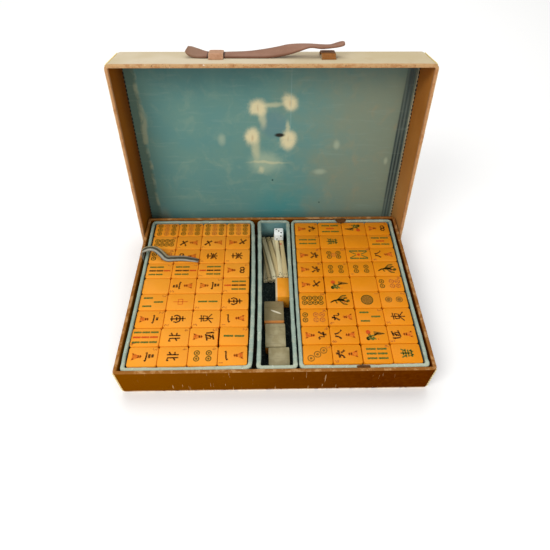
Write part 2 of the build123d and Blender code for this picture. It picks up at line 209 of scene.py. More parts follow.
# %% Make any node with one method
class Tree:
    """A node tree, and the one method that makes its nodes."""

    def plug(self, target, value):
        if isinstance(value, Value):
            self.tree.links.new(value.socket, target)
        elif value is not None:
            target.default_value = value

    def node(self, kind, settings=None, sockets=(), output=0):
        """Makes a node: its settings first, then its sockets, by name or in order."""
        made = self.tree.nodes.new(kind)
        for setting, value in (settings or {}).items():
            setattr(made, setting, value)
        pairs = sockets.items() if isinstance(sockets, dict) else enumerate(sockets)
        for key, value in pairs:
            self.plug(made.inputs[key], value)
        return Value(self, made.outputs[output])


print("a tree has", methods(Tree))


# %% Describe a material
def paint(red, green, blue):
    """A colour as it looks on a screen, from 0 to 255, turned into light."""
    screen = [part / 255 for part in (red, green, blue)]
    light = [s / 12.92 if s < 0.04045 else ((s + 0.055) / 1.055) ** 2.4 for s in screen]
    return (*light, 1.0)


class Finish(Tree):
    """One material: a Principled shader and the nodes that feed it."""

    def __init__(self, name, roughness=0.6, **shader):
        self.material = bpy.data.materials.new(name)
        self.material.use_nodes = True
        self.tree = self.material.node_tree
        self.tree.nodes.clear()
        self.shader = self.tree.nodes.new("ShaderNodeBsdfPrincipled")
        end = self.tree.nodes.new("ShaderNodeOutputMaterial")
        self.tree.links.new(self.shader.outputs[0], end.inputs[0])
        self.set("Roughness", roughness)
        for socket, value in shader.items():
            self.set(socket.replace("_", " "), value)

    def set(self, socket, value):
        self.plug(self.shader.inputs[socket], value)

    def place(self):
        return self.node("ShaderNodeTexCoord", output="Object")

    def uv(self):
        """The piece's own map, in metres along and across it."""
        return self.node("ShaderNodeUVMap", {"uv_map": "UVMap"})

    def axes(self, where=None):
        """The three coordinates of a place, each as a number."""
        apart = self.node("ShaderNodeSeparateXYZ", None, (where or self.place(),))
        return [apart.output(n) for n in range(3)]

    def attribute(self, name):
        return self.node("ShaderNodeAttribute", {"attribute_name": name}, output="Fac")

    def noise(self, size, detail=3.0, rough=0.5, where=None, stretch=None, warp=0.0):
        """Soft random patches about size metres across, from 0 to 1, about 0.5."""
        where = where or self.place()
        if stretch:
            where = self.node("ShaderNodeMapping", None, {"Vector": where, "Scale": stretch})
        sockets = {"Vector": where, "Scale": 1 / size, "Detail": detail, "Roughness": rough}
        return self.node("ShaderNodeTexNoise", None, {**sockets, "Distortion": warp})

    def cells(self, size):
        """Distance to the nearest of many points scattered about size metres apart."""
        sockets = {"Vector": self.place(), "Scale": 1 / size}
        return self.node("ShaderNodeTexVoronoi", {"feature": "F1"}, sockets)

    def mix(self, share, under, over):
        """One colour over another, by a share from 0 to 1."""
        sockets = {0: share, 6: under, 7: over}
        return self.node("ShaderNodeMix", {"data_type": "RGBA"}, sockets, output=2)

    def layers(self, base, *over):
        """A base colour with others laid over it in turn, each as (share, colour)."""
        colour = base
        for share, shade in over:
            colour = self.mix(share, colour, shade)
        self.set("Base Color", colour)

    def bump(self, height, depth, strength):
        """Raises the surface by height, from 0 to 1, times depth in metres."""
        sockets = {"Strength": strength, "Distance": depth, "Height": height}
        self.set("Normal", self.node("ShaderNodeBump", None, sockets))


stage_finish = Finish("pale_floor", roughness=0.9)
stage_finish.set("Base Color", paint(252, 252, 251))
print("first material", stage_finish.material.name)

# %% [markdown]
# ## Meshes from rows of points
#
# Most pieces here are sheets with a thickness, bent round a box: skins, linings, trays and straps.
# Each is a grid of points, made with plain numbers, so every wall stays a closed solid. The last
# row of a ring repeats the first one with a map that runs on. Then the doubles are merged, which
# closes the mesh and leaves the map its seam.


# %% Build a piece from points
def grid(rows, columns, round_columns=False, first=0):
    """Quads over rows of points, and across from each row's last point to its first."""
    faces = []
    for i in range(rows - 1):
        for j in range(columns if round_columns else columns - 1):
            here, there = first + i * columns, first + (i + 1) * columns
            beside = (j + 1) % columns
            faces.append((here + j, here + beside, there + beside, there + j))
    return faces


def solid(name, points, faces, uv=None, marks=None, sharp=40, face_finish=None):
    """A closed mesh object with its doubles merged and its faces pointing outwards."""
    mesh = bpy.data.meshes.new(name)
    mesh.from_pydata([tuple(point) for point in points], [], faces)
    if uv is not None:
        layer = mesh.uv_layers.new(name="UVMap")
        corners = np.zeros(len(mesh.loops), int)
        mesh.loops.foreach_get("vertex_index", corners)
        layer.data.foreach_set("uv", np.asarray(uv, float)[corners].ravel())
    for mark, values in (marks or {}).items():
        attribute = mesh.attributes.new(mark, "FLOAT", "POINT")
        attribute.data.foreach_set("value", np.asarray(values, float).ravel())
    if face_finish is not None:
        mesh.polygons.foreach_set("material_index", face_finish)
    shape = bmesh.new()
    shape.from_mesh(mesh)
    bmesh.ops.remove_doubles(shape, verts=shape.verts, dist=1e-6)
    bmesh.ops.dissolve_degenerate(shape, edges=shape.edges, dist=1e-7)
    bmesh.ops.recalc_face_normals(shape, faces=shape.faces)
    shape.to_mesh(mesh)
    shape.free()
    mesh.shade_smooth()
    mesh.set_sharp_from_angle(angle=math.radians(sharp))
    return add_object(name, mesh)


print("a grid of 3 rows of 4 points has", len(grid(3, 4)), "faces")


# %% Give a piece its finish and its body
def dress(made, body, slot, finishes, *nodes):
    """Gives a piece its finishes and its body, and hides the frame's nodes that it stands for."""
    if finishes:
        if len(made.data.materials):
            made.data.materials.clear()
        for finish in finishes if isinstance(finishes, list) else [finishes]:
            made.data.materials.append(finish.material)
    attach(made, body)
    if nodes:
        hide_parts(*nodes)
    return made


def ripple(x, y, z, size, seed=0.0):
    """Smooth noise between -1 and 1 that changes over size metres."""
    return noise.noise(Vector((x / size + seed, y / size - seed, z / size + 2 * seed)))


print("a ripple at the corner of the base", round(ripple(HALF_W, HALF_D, 0, 38 * MM), 3))

# %% Walk round a rectangle with round corners
CORNER_STEP = 0.7 * MM


def outline(half_x, front, back, corner, back_corner=None, step=4 * MM, extra=()):
    """Stations round a rectangle, from its right side on: places, outward ways and lengths."""
    back_corner = corner if back_corner is None else back_corner
    corners = [
        (half_x - back_corner, back - back_corner, back_corner, 0),
        (-half_x + back_corner, back - back_corner, back_corner, 90),
        (-half_x + corner, front + corner, corner, 180),
        (half_x - corner, front + corner, corner, 270),
    ]
    places, ways = [], []
    for index, (x, y, radius, turn) in enumerate(corners):
        pieces = max(3, math.ceil(radius * math.pi / 2 / CORNER_STEP))
        for k in range(pieces + 1):
            angle = math.radians(turn + 90 * k / pieces)
            way = (math.cos(angle), math.sin(angle))
            places.append((x + radius * way[0], y + radius * way[1]))
            ways.append(way)
        next_x, next_y, next_radius, next_turn = corners[(index + 1) % 4]
        angle = math.radians(next_turn)
        end = (next_x + next_radius * math.cos(angle), next_y + next_radius * math.sin(angle))
        start = places[-1]
        pieces = max(1, round(math.dist(start, end) / step))
        for k in range(1, pieces):
            share = k / pieces
            places.append(tuple(a + (b - a) * share for a, b in zip(start, end)))
            ways.append(ways[-1])
    places.append(places[0])
    ways.append(ways[0])
    for x, y in extra:
        runs = [math.dist(a, (x, y)) + math.dist((x, y), b) - math.dist(a, b)
                for a, b in zip(places, places[1:])]
        after = int(np.argmin(runs)) + 1
        places.insert(after, (x, y))
        ways.insert(after, (math.copysign(1, x), 0.0))
    places, ways = np.array(places), np.array(ways)
    lengths = np.r_[0, np.cumsum(np.linalg.norm(np.diff(places, axis=0), axis=1))]
    return {"places": places, "ways": ways, "lengths": lengths, "sides": (half_x, front, back)}


print("stations round the base", len(outline(HALF_W, -HALF_D, HALF_D, 4 * MM)["places"]))


# %% Carry a profile round an outline
def inset_from(path, inset, place, way):
    """A point moved inwards, but never past the middle line of a corner."""
    half_x, front, back = path["sides"]
    x, y = place - way * inset
    x = min(max(x, inset - half_x), half_x - inset)
    y = min(max(y, front + inset), back - inset)
    return x, y


def around(path, profile_at, closed_profile=True):
    """Carries a profile of (inset, height) points round an outline: points, map and faces."""
    points, uv = [], []
    for place, way, length in zip(path["places"], path["ways"], path["lengths"]):
        travel, last = 0.0, None
        for inset, height in profile_at(place):
            travel += math.dist(last, (inset, height)) if last else 0.0
            last = (inset, height)
            points.append((*inset_from(path, inset, place, way), height))
            uv.append((length, travel))
    stations = len(path["places"])
    columns = len(points) // stations
    faces = grid(stations, columns, closed_profile)
    if not closed_profile:
        faces.append([i * columns for i in range(stations - 1)])
        faces.append([i * columns + columns - 1 for i in range(stations - 1)])
    return np.array(points), np.array(uv), faces


def arc(middle_x, middle_y, radius, start, end, pieces):
    """Points along a round corner of a profile, angles in degrees."""
    angles = [math.radians(start + (end - start) * k / pieces) for k in range(pieces + 1)]
    return [(middle_x + radius * math.cos(a), middle_y + radius * math.sin(a)) for a in angles]


def squarer(amount, power):
    """A sine or cosine pushed away from 0, which makes a round section squarer."""
    return math.copysign(abs(amount) ** power, amount)


print("points in a quarter turn", len(arc(0, 0, 1, 0, 90, 4)))


# %% [markdown]
# ## Finishes for the leather
#
# Old leather is never one colour. Its brown fades where light and hands reach it, the grain shows
# as tiny cells, and edges wear through to a pale core. On the base, painted shade also darkens the
# brown from left to right, away from the key light. Each of these is a mask: a ramp over height or
# distance, broken up by noise so that it doesn't look sprayed on.


# %% Brown leather of the base
brown_leather = Finish("brown_leather", roughness=0.5, Specular_IOR_Level=0.0)


def leather_grain(finish, depth=0.12 * MM, size=0.9 * MM):
    """Fine cells with softer creases over them."""
    pebbles = finish.cells(size)
    creases = finish.noise(6 * MM, 6, 0.62)
    finish.bump(pebbles * 0.45 + creases * 0.55, depth, 0.7)


def base_colour(finish):
    x, _, z = finish.axes()
    wide = finish.noise(70 * MM, 3)
    fine = finish.noise(5 * MM, 5, 0.65)
    streaks = finish.noise(3.2 * MM, 3, 0.6, stretch=(1.0, 1.0, 0.09))
    # sideways: painted shade, a ramp that darkens the brown from left to right, away from the key
    # light
    sideways = (x + (wide - 0.5) * 0.12).ramp(-HALF_W, HALF_W)
    where = finish.noise(20 * MM, 2).ramp(0.36, 0.52) * x.ramp(-0.15, -0.09) * x.ramp(0.13, 0.1)
    scuffs = streaks.ramp(0.63, 0.69) * where * 0.6
    foot = z.ramp(3.4 * MM, 1.2 * MM) * fine.ramp(0.36, 0.5) * 0.9
    rim = z.ramp(RIM_Z - 1.3 * MM, RIM_Z - 0.4 * MM)
    soft = finish.noise(7 * MM, 5, 0.65)
    worn_rim = z.ramp(RIM_Z - 0.9 * MM, RIM_Z - 0.3 * MM) * soft.ramp(0.48, 0.62) * 0.55
    finish.layers(
        paint(122, 68, 0),
        # painted shade: darker brown towards the right
        (sideways, paint(84, 34, 0)),
        (fine.ramp(0.35, 0.7) * 0.3, paint(118, 62, 0)),
        (scuffs, paint(214, 176, 126)),
        (foot, paint(220, 186, 140)),
        (rim * 0.85, paint(150, 98, 46)),
        (worn_rim, paint(200, 156, 106)),
    )
    finish.set("Roughness", 0.42 + fine * 0.22)
    leather_grain(finish)


base_colour(brown_leather)
print(brown_leather.material.name, len(brown_leather.tree.nodes), "nodes")

# %% [markdown]
# ## The base
#
# The base is board covered in leather. The leather runs up the outside, folds over the rim and goes
# down inside, so it is one skin with soft edges. It stands in for the frame's five leather nodes,
# and the boards stay as they are inside it.

# %% Fold the base's skin over its boards
SOFT_EDGE = 1.6 * MM
SOFT_RIM = 1.1 * MM
INSIDE_SKIN = 0.3 * MM
INSIDE_LOW = 12 * MM
UNDER_REACH = 9 * MM
base_path = outline(HALF_W, -HALF_D, HALF_D, 4.0 * MM)


def base_profile(place):
    x, y = place
    heights = np.linspace(SOFT_EDGE, RIM_Z - SOFT_RIM, 9)
    outside = [(0.16 * MM * ripple(x, y, z, 38 * MM) + 0.05 * MM, z) for z in heights]
    rim_middle = RIM_Z - SOFT_RIM + 0.12 * MM * ripple(x, y, 0, 9 * MM, 3.0)
    inner = WALL + INSIDE_SKIN
    return [
        (UNDER_REACH, 0.0),
        *arc(SOFT_EDGE, SOFT_EDGE, SOFT_EDGE, 270, 180, 4)[:-1],
        *outside,
        *arc(SOFT_RIM, rim_middle, SOFT_RIM, 180, 90, 4)[1:],
        *arc(inner - SOFT_RIM, rim_middle, SOFT_RIM, 90, 0, 4),
        (inner, RIM_Z * 0.62),
        (inner, INSIDE_LOW),
        (WALL, INSIDE_LOW),
        (WALL, RIM_Z - TURNED),
        (LEATHER, RIM_Z - TURNED),
        (LEATHER, LEATHER),
        (UNDER_REACH, LEATHER),
    ]


points, uv, faces = around(base_path, base_profile, closed_profile=False)
base_skin = solid("base_skin", points, faces, uv)
base_leathers = [f"base_{side}_leather" for side in ("front", "back", "left", "right", "bottom")]
dress(base_skin, "base", "brown_leather", brown_leather, *base_leathers)
print("base skin", len(base_skin.data.polygons), "faces")

# %% [markdown]
# ## The lid
#
# The lid is built like the base, upside down. Its outside has faded to a pale buff where it faces
# the light, while its folded rim still shows tan. The same walk round an outline makes it, but the
# rim's height now depends on the place: round the rivets it follows an arc, and across the back
# only a short apron is left, so that the open lid can stand behind the base.

# %% Fold the lid's skin
TAIL = PIVOT_Z - LID_RIM
APRON_LOW = RIM_Z + 0.21 * MM
REAR_STEP = LID_REAR + 0.15 * MM
PANEL_REACH = 12 * MM
TURN_UP = 4.0 * MM


def rim_height(y):
    """The height of the shut lid's rim at a place from front to back."""
    if y <= PIVOT_Y:
        return LID_RIM
    if y <= REAR_STEP:
        return PIVOT_Z - math.sqrt(TAIL**2 - (y - PIVOT_Y) ** 2)
    return APRON_LOW


side_ends = [(side * LID_HALF_W, REAR_STEP - 0.03 * MM) for side in (-1, 1)]
lid_path = outline(LID_HALF_W, -LID_FRONT, LID_END, 5 * MM, 1.0 * MM, 2 * MM, side_ends)


def lid_profile(place):
    x, y = place
    rear = y > REAR_STEP
    low = rim_height(y)
    edge = 1.1 * MM if rear else 2.2 * MM
    inner = LEATHER if rear else WALL
    fold = LEATHER if rear else WALL - 0.6 * MM
    up = TURNED if rear else TURN_UP
    soft = 0.5 * MM if rear else 0.9 * MM
    wave = 0.0 if rear else 0.15 * MM * ripple(x, y, 0, 8 * MM, 5.0)
    outside = []
    for z in np.linspace(low + soft, LID_TOP - edge, 9):
        deep = 0.0 if rear else 0.22 * MM * ripple(x, y, z, 45 * MM, 1.0) + 0.08 * MM
        outside.append((deep, z))
    return [
        (PANEL_REACH, LID_TOP - LEATHER),
        (LEATHER, LID_TOP - LEATHER),
        (LEATHER, low + TURNED),
        (fold, low + TURNED),
        (fold, low + up),
        (inner, low + up),
        *arc(inner - soft, low + soft + wave, soft, 360, 270, 3),
        *arc(soft, low + soft + wave, soft, 270, 180, 3)[:-1],
        *outside,
        *arc(edge, LID_TOP - edge, edge, 180, 90, 5)[1:],
        (PANEL_REACH, LID_TOP),
    ]


points, uv, faces = around(lid_path, lid_profile, closed_profile=False)
height = np.array([z - rim_height(y) for x, y, z in points])
faded = np.clip((-points[:, 1] - LID_FRONT + 5 * MM) / (3 * MM), 0, 1)
lid_skin = solid("lid_skin", swing(points), faces, uv, {"height": height, "faded": faded})
print("lid skin", len(lid_skin.data.polygons), "faces")

# %% Faded leather of the lid's outside
faded_leather = Finish("faded_leather", roughness=0.55, Specular_IOR_Level=0.2)


def lid_colour(finish):
    x = finish.axes()[0]
    height, faded = finish.attribute("height"), finish.attribute("faded")
    wide = finish.noise(60 * MM, 3)
    fine = finish.noise(4 * MM, 6, 0.7)
    soft = finish.noise(12 * MM, 4, 0.6)
    ragged = height + (soft - 0.5) * (3.0 * MM)
    rim = ragged.ramp(4.2 * MM, 2.4 * MM)
    smudge = finish.noise(5 * MM, 5, 0.7).ramp(0.47, 0.6) * height.ramp(4.2 * MM, 1.2 * MM)
    cracks = finish.noise(2.2 * MM, 4, 0.65).ramp(0.6, 0.66) * height.ramp(3.2 * MM, 1.0 * MM)
    specks = finish.noise(3.5 * MM, 3, 0.6).ramp(0.68, 0.72) * height.ramp(6.5 * MM, 3 * MM)
    dust = finish.noise(16 * MM, 5, 0.6).ramp(0.55, 0.75)
    buff = finish.mix(wide.ramp(0.38, 0.64), paint(205, 191, 163), paint(196, 180, 146))
    buff = finish.mix(x.ramp(-0.05, 0.12) * 0.5, buff, paint(188, 170, 128))
    buff = finish.mix(dust * 0.3, buff, paint(182, 156, 116))
    brown = finish.mix(wide.ramp(0.35, 0.65), paint(150, 98, 48), paint(126, 74, 28))
    brown = finish.mix(dust * 0.3, brown, paint(170, 120, 72))
    worn = finish.mix(faded, paint(190, 142, 96), paint(190, 148, 98))
    outer = x.abs().ramp(LID_HALF_W - 1.3 * MM, LID_HALF_W - 0.3 * MM) * height.ramp(6 * MM, 2 * MM)
    finish.layers(
        brown,
        (faded, buff),
        (rim * 0.9, worn),
        (smudge * 0.6, paint(164, 106, 54)),
        (outer * soft.ramp(0.36, 0.54) * 0.75, paint(236, 220, 186)),
        (cracks * faded * 0.75, paint(92, 52, 26)),
        (specks * faded * 0.8, paint(248, 240, 222)),
    )
    finish.set("Roughness", 0.45 + fine * 0.25)
    leather_grain(finish, 0.1 * MM)


lid_colour(faded_leather)
outer_leathers = [f"lid_{side}_leather" for side in ("front", "left", "right", "top")]
dress(lid_skin, "lid", "faded_leather", faded_leather, *outer_leathers, "lid_rear_apron")
print(faded_leather.material.name, len(faded_leather.tree.nodes), "nodes")

# %% [markdown]
# ## Inside the lid
#
# The lid's inner walls are faced with brown leather, sewn along the panel with dark thread. The
# panel itself is lined with paper or cloth that was once teal. It has a map in metres across and
# along the lid, so each stain sits at a place that can be named and measured.

# %% Face the lid's inner walls
inner_leather = Finish("inner_leather", roughness=0.5, Specular_IOR_Level=0.12)


def inner_colour(finish):
    x, _, z = finish.axes()
    v = finish.axes(finish.uv())[1]
    fine = finish.noise(5 * MM, 5, 0.65)
    wide = finish.noise(45 * MM, 3, stretch=(1.0, 0.6, 0.4))
    # right: painted light, the right inner wall, which faces the key light, is painted lighter
    right = x.ramp(-0.05, 0.05)
    # deep: painted shade, darker towards the inner corner where the facing meets the lining panel
    deep = (v + (wide - 0.5) * (16 * MM)).ramp(8 * MM, 42 * MM)
    finish.layers(
        paint(157, 92, 2),
        (wide.ramp(0.4, 0.66) * 0.4, paint(132, 72, 0)),
        # painted shade in the corner by the lining
        (deep * 0.8, paint(104, 54, 0)),
        # painted light: lighter leather on the right wall
        (right, finish.mix(wide.ramp(0.35, 0.62), paint(184, 124, 56), paint(164, 102, 36))),
        # painted light: the right wall lighter still lower down
        (right * z.ramp(0.16, 0.06) * 0.6, paint(204, 148, 84)),
        (fine.ramp(0.62, 0.74) * 0.35, paint(186, 132, 74)),
    )
    finish.set("Roughness", 0.5 + fine * 0.2)
    leather_grain(finish, 0.08 * MM)


inner_colour(inner_leather)
print(inner_leather.material.name, len(inner_leather.tree.nodes), "nodes")

# %% Fold the facing round three walls
FACING = 0.6 * MM


def facing_profile(place):
    x, y = place
    low = rim_height(min(y, LID_REAR - 0.05 * MM)) + TURN_UP + 0.05 * MM
    levels = np.linspace(min(low, LID_UNDER - 1 * MM), LID_UNDER, 7)
    wave = [0.0, *[0.1 * MM * ripple(x, y, z, 30 * MM, 9.0) for z in levels[1:-1]], 0.0]
    inside = [(WALL + push, z) for push, z in zip(wave, levels)]
    outside = [(WALL - FACING, z) for z in reversed(levels)]
    return inside + outside


def u_shape(path, profile_at, end):
    """A profile carried round three sides only, from end on the right back to end on the left."""
    keep = [k for k, place in enumerate(path["places"]) if place[1] <= end]
    start = next(k for k in keep if k - 1 not in keep)
    order = list(range(start, start + len(keep)))
    cut = {key: path[key][order] for key in ("places", "ways", "lengths")}
    points, uv, _ = around({**cut, "sides": path["sides"]}, profile_at)
    columns = len(points) // len(order)
    faces = grid(len(order), columns, True)
    faces += [list(range(columns)), [(len(order) - 1) * columns + j for j in range(columns)]]
    return points, uv, faces


points, uv, faces = u_shape(lid_path, facing_profile, REAR_STEP)
lid_facing = solid("lid_inner_leather", swing(points), faces, uv)
facings = [f"lid_{side}_facing" for side in ("front", "left", "right")]
dress(lid_facing, "lid", "inner_leather", inner_leather, *facings)
print("facing", len(lid_facing.data.polygons), "faces")

# %% Line the panel
LINING_X = LID_HALF_W - WALL - 0.05 * MM
LINING_FRONT = -LID_FRONT + WALL + 0.05 * MM
LINING_BACK = LID_REAR
RIDGES = ((150.2, 0.55, 1.3), (154.0, 0.7, 1.1), (158.2, 0.8, 1.3))  # mm: place, height, width


def lining_rise(x, y):
    """How far the lining stands off its board: long ridges by the right wall and slow buckles."""
    drift = 0.9 * MM * (y - LINING_FRONT) / (LINING_BACK - LINING_FRONT)
    rise = 0.12 * MM * (1 + ripple(x, y, 0, 55 * MM, 2.0))
    for place, tall, width in RIDGES:
        wander = 0.5 * MM * ripple(place, y, 0, 40 * MM, place)
        away = (x - place * MM - drift - wander) / (width * MM)
        strength = 0.6 + 0.4 * ripple(place, y, 0, 25 * MM, 7.0)
        rise += tall * MM * strength * math.exp(-away * away)
    crease = (x - 22.0 * MM) / (0.8 * MM)
    return rise + 0.12 * MM * math.exp(-crease * crease)


RIDGES_FROM = 0.146
columns_x = np.r_[
    np.arange(-LINING_X, RIDGES_FROM, 2 * MM),
    np.arange(RIDGES_FROM + 0.5 * MM, LINING_X, 0.5 * MM),
    LINING_X,
]
rows_y = np.linspace(LINING_FRONT, LINING_BACK, 116)
shown = [(x, y, LID_UNDER - lining_rise(x, y)) for y in rows_y for x in columns_x]
hidden = [(x, y, LID_UNDER + 0.5 * MM) for y in rows_y for x in columns_x]
across = len(columns_x)
total = len(shown)
faces = grid(len(rows_y), across) + grid(len(rows_y), across, first=total)
border = [*range(across), *range(2 * across - 1, total, across)]
border += [*range(total - 2, total - across - 1, -1), *range(total - 2 * across, 0, -across)]
faces += [(a, b, b + total, a + total) for a, b in zip(border, border[1:] + border[:1])]
uv = [(x, y) for x, y, z in shown + hidden]
lid_lining = solid("lid_lining_sheet", swing(shown + hidden), faces, uv)
print("lining", len(lid_lining.data.polygons), "faces")

# %% Where the lining is stained: each place and size in mm, across the lid and along it
GLUE_SPOTS = (
    ((-15.2, -57.4), (17, 18)), ((20.5, -62.4), (16, 16)),
    ((-23.8, -22.1), (16, 19)), ((20.3, -20.6), (15.5, 20)),
)
GLUE_TAILS = (
    ((-11, -44), (9, 24)), ((-19, -6), (10, 26)), ((1, -60), (24, 5)),
    ((-12, 20), (7, 9)), ((-6, 9), (44, 3.4)), ((19, -36), (5, 14)),
)
PALE_SPOTS = (
    ((78, -13), (8, 12)), ((141, 8), (5, 10)), ((60, 22), (16, 8)), ((-60, -20), (10, 16)),
)


def near(u, v, at, size, soft=1.0):
    """A round soft spot about a place on the map, in mm: 1 in its middle, 0 past its size."""
    across = (u - at[0] * MM) / (size[0] * MM)
    along = (v - at[1] * MM) / (size[1] * MM)
    return ((across * across + along * along) ** 0.5).ramp(1.0, 1.0 - soft)


print("stains", len(GLUE_SPOTS) + len(GLUE_TAILS) + len(PALE_SPOTS))

# %% Fade the teal lining, and paint shade along its front end
teal_lining = Finish("teal_lining", roughness=0.85, Specular_IOR_Level=0.2)
u, v, _ = teal_lining.axes(teal_lining.uv())
wide = teal_lining.noise(48 * MM, 4, 0.6)
cloud = teal_lining.noise(22 * MM, 5, 0.62, warp=0.6)
fine = teal_lining.noise(1.6 * MM, 4, 0.7)
streak = teal_lining.noise(9 * MM, 3, 0.6, where=teal_lining.uv(), stretch=(1.0, 0.12, 1.0))
brushed = teal_lining.noise(5 * MM, 3, 0.6, where=teal_lining.uv(), stretch=(0.1, 1.0, 1.0))
rag = (cloud - 0.5) * 0.7

right = (u + (wide - 0.5) * 0.16).ramp(-0.01, 0.12)
# front: painted shade over the lining's front end, which is the top of the open lid
front = (v + (wide - 0.5) * 0.05).ramp(-0.07, -0.112)
deep = near(u, v, (14, 76), (66, 62)) * 0.8
wavy = u + (wide - 0.5) * 0.014 + (streak - 0.5) * 0.008 + (fine - 0.5) * 0.002
left_edge = wavy.ramp(-0.147, -0.151)
left_line = (wavy + 0.149).abs().ramp(3.6 * MM, 0.6 * MM) * cloud.ramp(0.36, 0.58)
corner = near(u, v, (-143, 92), (12, 28), 0.8)
smear = (near(u, v, (-8, 9), (40, 26)) + rag * 0.9).ramp(0.15, 1.0) * 0.65
patch = near(u, v, (2, -38), (21, 20), 0.5)
colour_layers = [
    (wide.ramp(0.35, 0.65) * 0.6, paint(104, 142, 131)),
    (cloud.ramp(0.5, 0.72) * 0.35, paint(132, 158, 140)),
    (deep, paint(70, 140, 138)),
    (right * 0.85, paint(124, 134, 114)),
    (right * cloud.ramp(0.5, 0.75) * 0.5, paint(138, 134, 108)),
    # painted shade: darker teal along the front end
    (front * 0.6, paint(74, 116, 116)),
    (left_edge * 0.7, paint(84, 102, 86)),
    (left_line * 0.7, paint(156, 166, 136)),
    (corner * 0.55, paint(150, 154, 130)),
    (smear, paint(164, 182, 156)),
    (patch * 0.55, paint(92, 128, 134)),
]
print("layers of fading", len(colour_layers))

# %% Stain the lining, and paint a shadow along its front edge
for at, size in PALE_SPOTS:
    share = near(u, v, at, size) + rag * 0.5
    colour_layers.append((share.ramp(0.2, 1.1) * 0.5, paint(172, 186, 160)))
bent_u, bent_v = u + (cloud - 0.5) * 0.012, v + (wide - 0.5) * 0.016
for at, size in GLUE_TAILS:
    share = near(bent_u, bent_v, at, size) + rag * 0.55
    colour_layers.append((share.ramp(0.1, 1.1) * 0.6, paint(200, 200, 160)))
for at, size in GLUE_SPOTS:
    share = near(bent_u, bent_v, at, size) + rag * 0.5 + (fine - 0.5) * 0.3
    colour_layers.append((share.ramp(0.1, 0.85) * 0.88, paint(222, 212, 168)))
    thread = near(u, v, at, (3.0, 6.5)) * streak.ramp(0.44, 0.56)
    colour_layers.append((thread * 0.5, paint(168, 124, 84)))
crease = near(u, v, (21.8, -50), (0.8, 84), 0.8) * streak.ramp(0.3, 0.6)
pale_side = u.ramp(LINING_X - 2.4 * MM, LINING_X - 1.0 * MM) * fine.ramp(0.35, 0.5)
band = near(u, v, (153.5, 0), (8, 170), 0.6)
# Dark streaky lines along the left side of each ridge
ridge_lines = 0.0
for place, _, _ in RIDGES:
    ridge_lines = near(u, v, (place - 1.4, 0), (1.9, 150), 0.9) + ridge_lines
colour_layers += [
    (crease * 0.28, paint(150, 186, 184)),
    (band * 0.75, paint(82, 98, 96)),
    (band * v.ramp(-0.05, -0.1) * 0.6, paint(44, 60, 70)),
    (near(u, v, (9, -25.5), (8, 3.4), 0.6), paint(40, 40, 34)),
    (near(u, v, (0.6, 33.3), (1.6, 1.8), 0.6) * 0.9, paint(40, 70, 70)),
    (near(u, v, (62, 66), (1.8, 1.6), 0.6) * 0.7, paint(52, 76, 66)),
    (ridge_lines.clamp() * streak.ramp(0.2, 0.45) * 0.9, paint(38, 52, 54)),
    (pale_side * 0.75, paint(200, 198, 168)),
    (fine.ramp(0.62, 0.75) * 0.16, paint(178, 194, 172)),
    (brushed.ramp(0.55, 0.7) * 0.12, paint(150, 172, 158)),
    # painted shadow: a dark strip along the front edge, in the corner against the front facing
    (v.ramp(LINING_FRONT + 3 * MM, LINING_FRONT) * 0.6, paint(54, 62, 50)),
]
teal_lining.layers(paint(92, 138, 134), *colour_layers)
teal_lining.bump(fine * 0.4 + streak * 0.3 + cloud * 0.3, 0.12 * MM, 0.5)
dress(lid_lining, "lid", "teal_paper", teal_lining, "lid_lining")
print(teal_lining.material.name, len(teal_lining.tree.nodes), "nodes")

# %% [markdown]
# ## Small pieces set out by Geometry Nodes
#
# Tiles, counting sticks and stitches repeat hundreds of times. Each kind is drawn once, and a tree
# of Geometry Nodes sets copies of it on places, with a small random turn so that no two look
# stamped. The copies end up as one plain mesh, because instances are lost when a model is exported.


# %% Wrap a Geometry Nodes tree
class Growth(Tree):
    """A Geometry Nodes tree with named inputs. What it grows is kept as a plain mesh."""

    def __init__(self, name, **inputs):
        self.tree = bpy.data.node_groups.new(name, "GeometryNodeTree")
        self.keys = {}
        for label, kind in {"Places": "Geometry", **inputs}.items():
            socket = self.tree.interface.new_socket(label, socket_type=f"NodeSocket{kind}")
            self.keys[label] = socket.identifier
        self.tree.interface.new_socket("Pieces", in_out="OUTPUT", socket_type="NodeSocketGeometry")
        self.start = self.tree.nodes.new("NodeGroupInput")

    def __getitem__(self, label):
        return Value(self, self.start.outputs[label])

    def end(self, pieces):
        """Makes the instances real and gives them their finish."""
        real = self.node("GeometryNodeRealizeInstances", None, (pieces,))
        sockets = {"Geometry": real, "Material": self["Finish"]}
        done = self.node("GeometryNodeSetMaterial", None, sockets)
        self.plug(self.tree.nodes.new("NodeGroupOutput").inputs[0], done)

    def grow(self, name, places, **values):
        """Runs the tree on places and keeps the mesh that it makes."""
        holder = add_object(name, places)
        modifier = holder.modifiers.new(name, "NODES")
        modifier.node_group = self.tree
        for label, value in values.items():
            modifier[self.keys[label]] = value
        graph = bpy.context.evaluated_depsgraph_get()
        seen = holder.evaluated_get(graph)
        mesh = bpy.data.meshes.new_from_object(seen, preserve_all_data_layers=True, depsgraph=graph)
        holder.modifiers.clear()
        holder.data = mesh
        mesh.shade_smooth()
        mesh.set_sharp_from_angle(angle=math.radians(40))
        return holder


print("a growth has", methods(Growth))

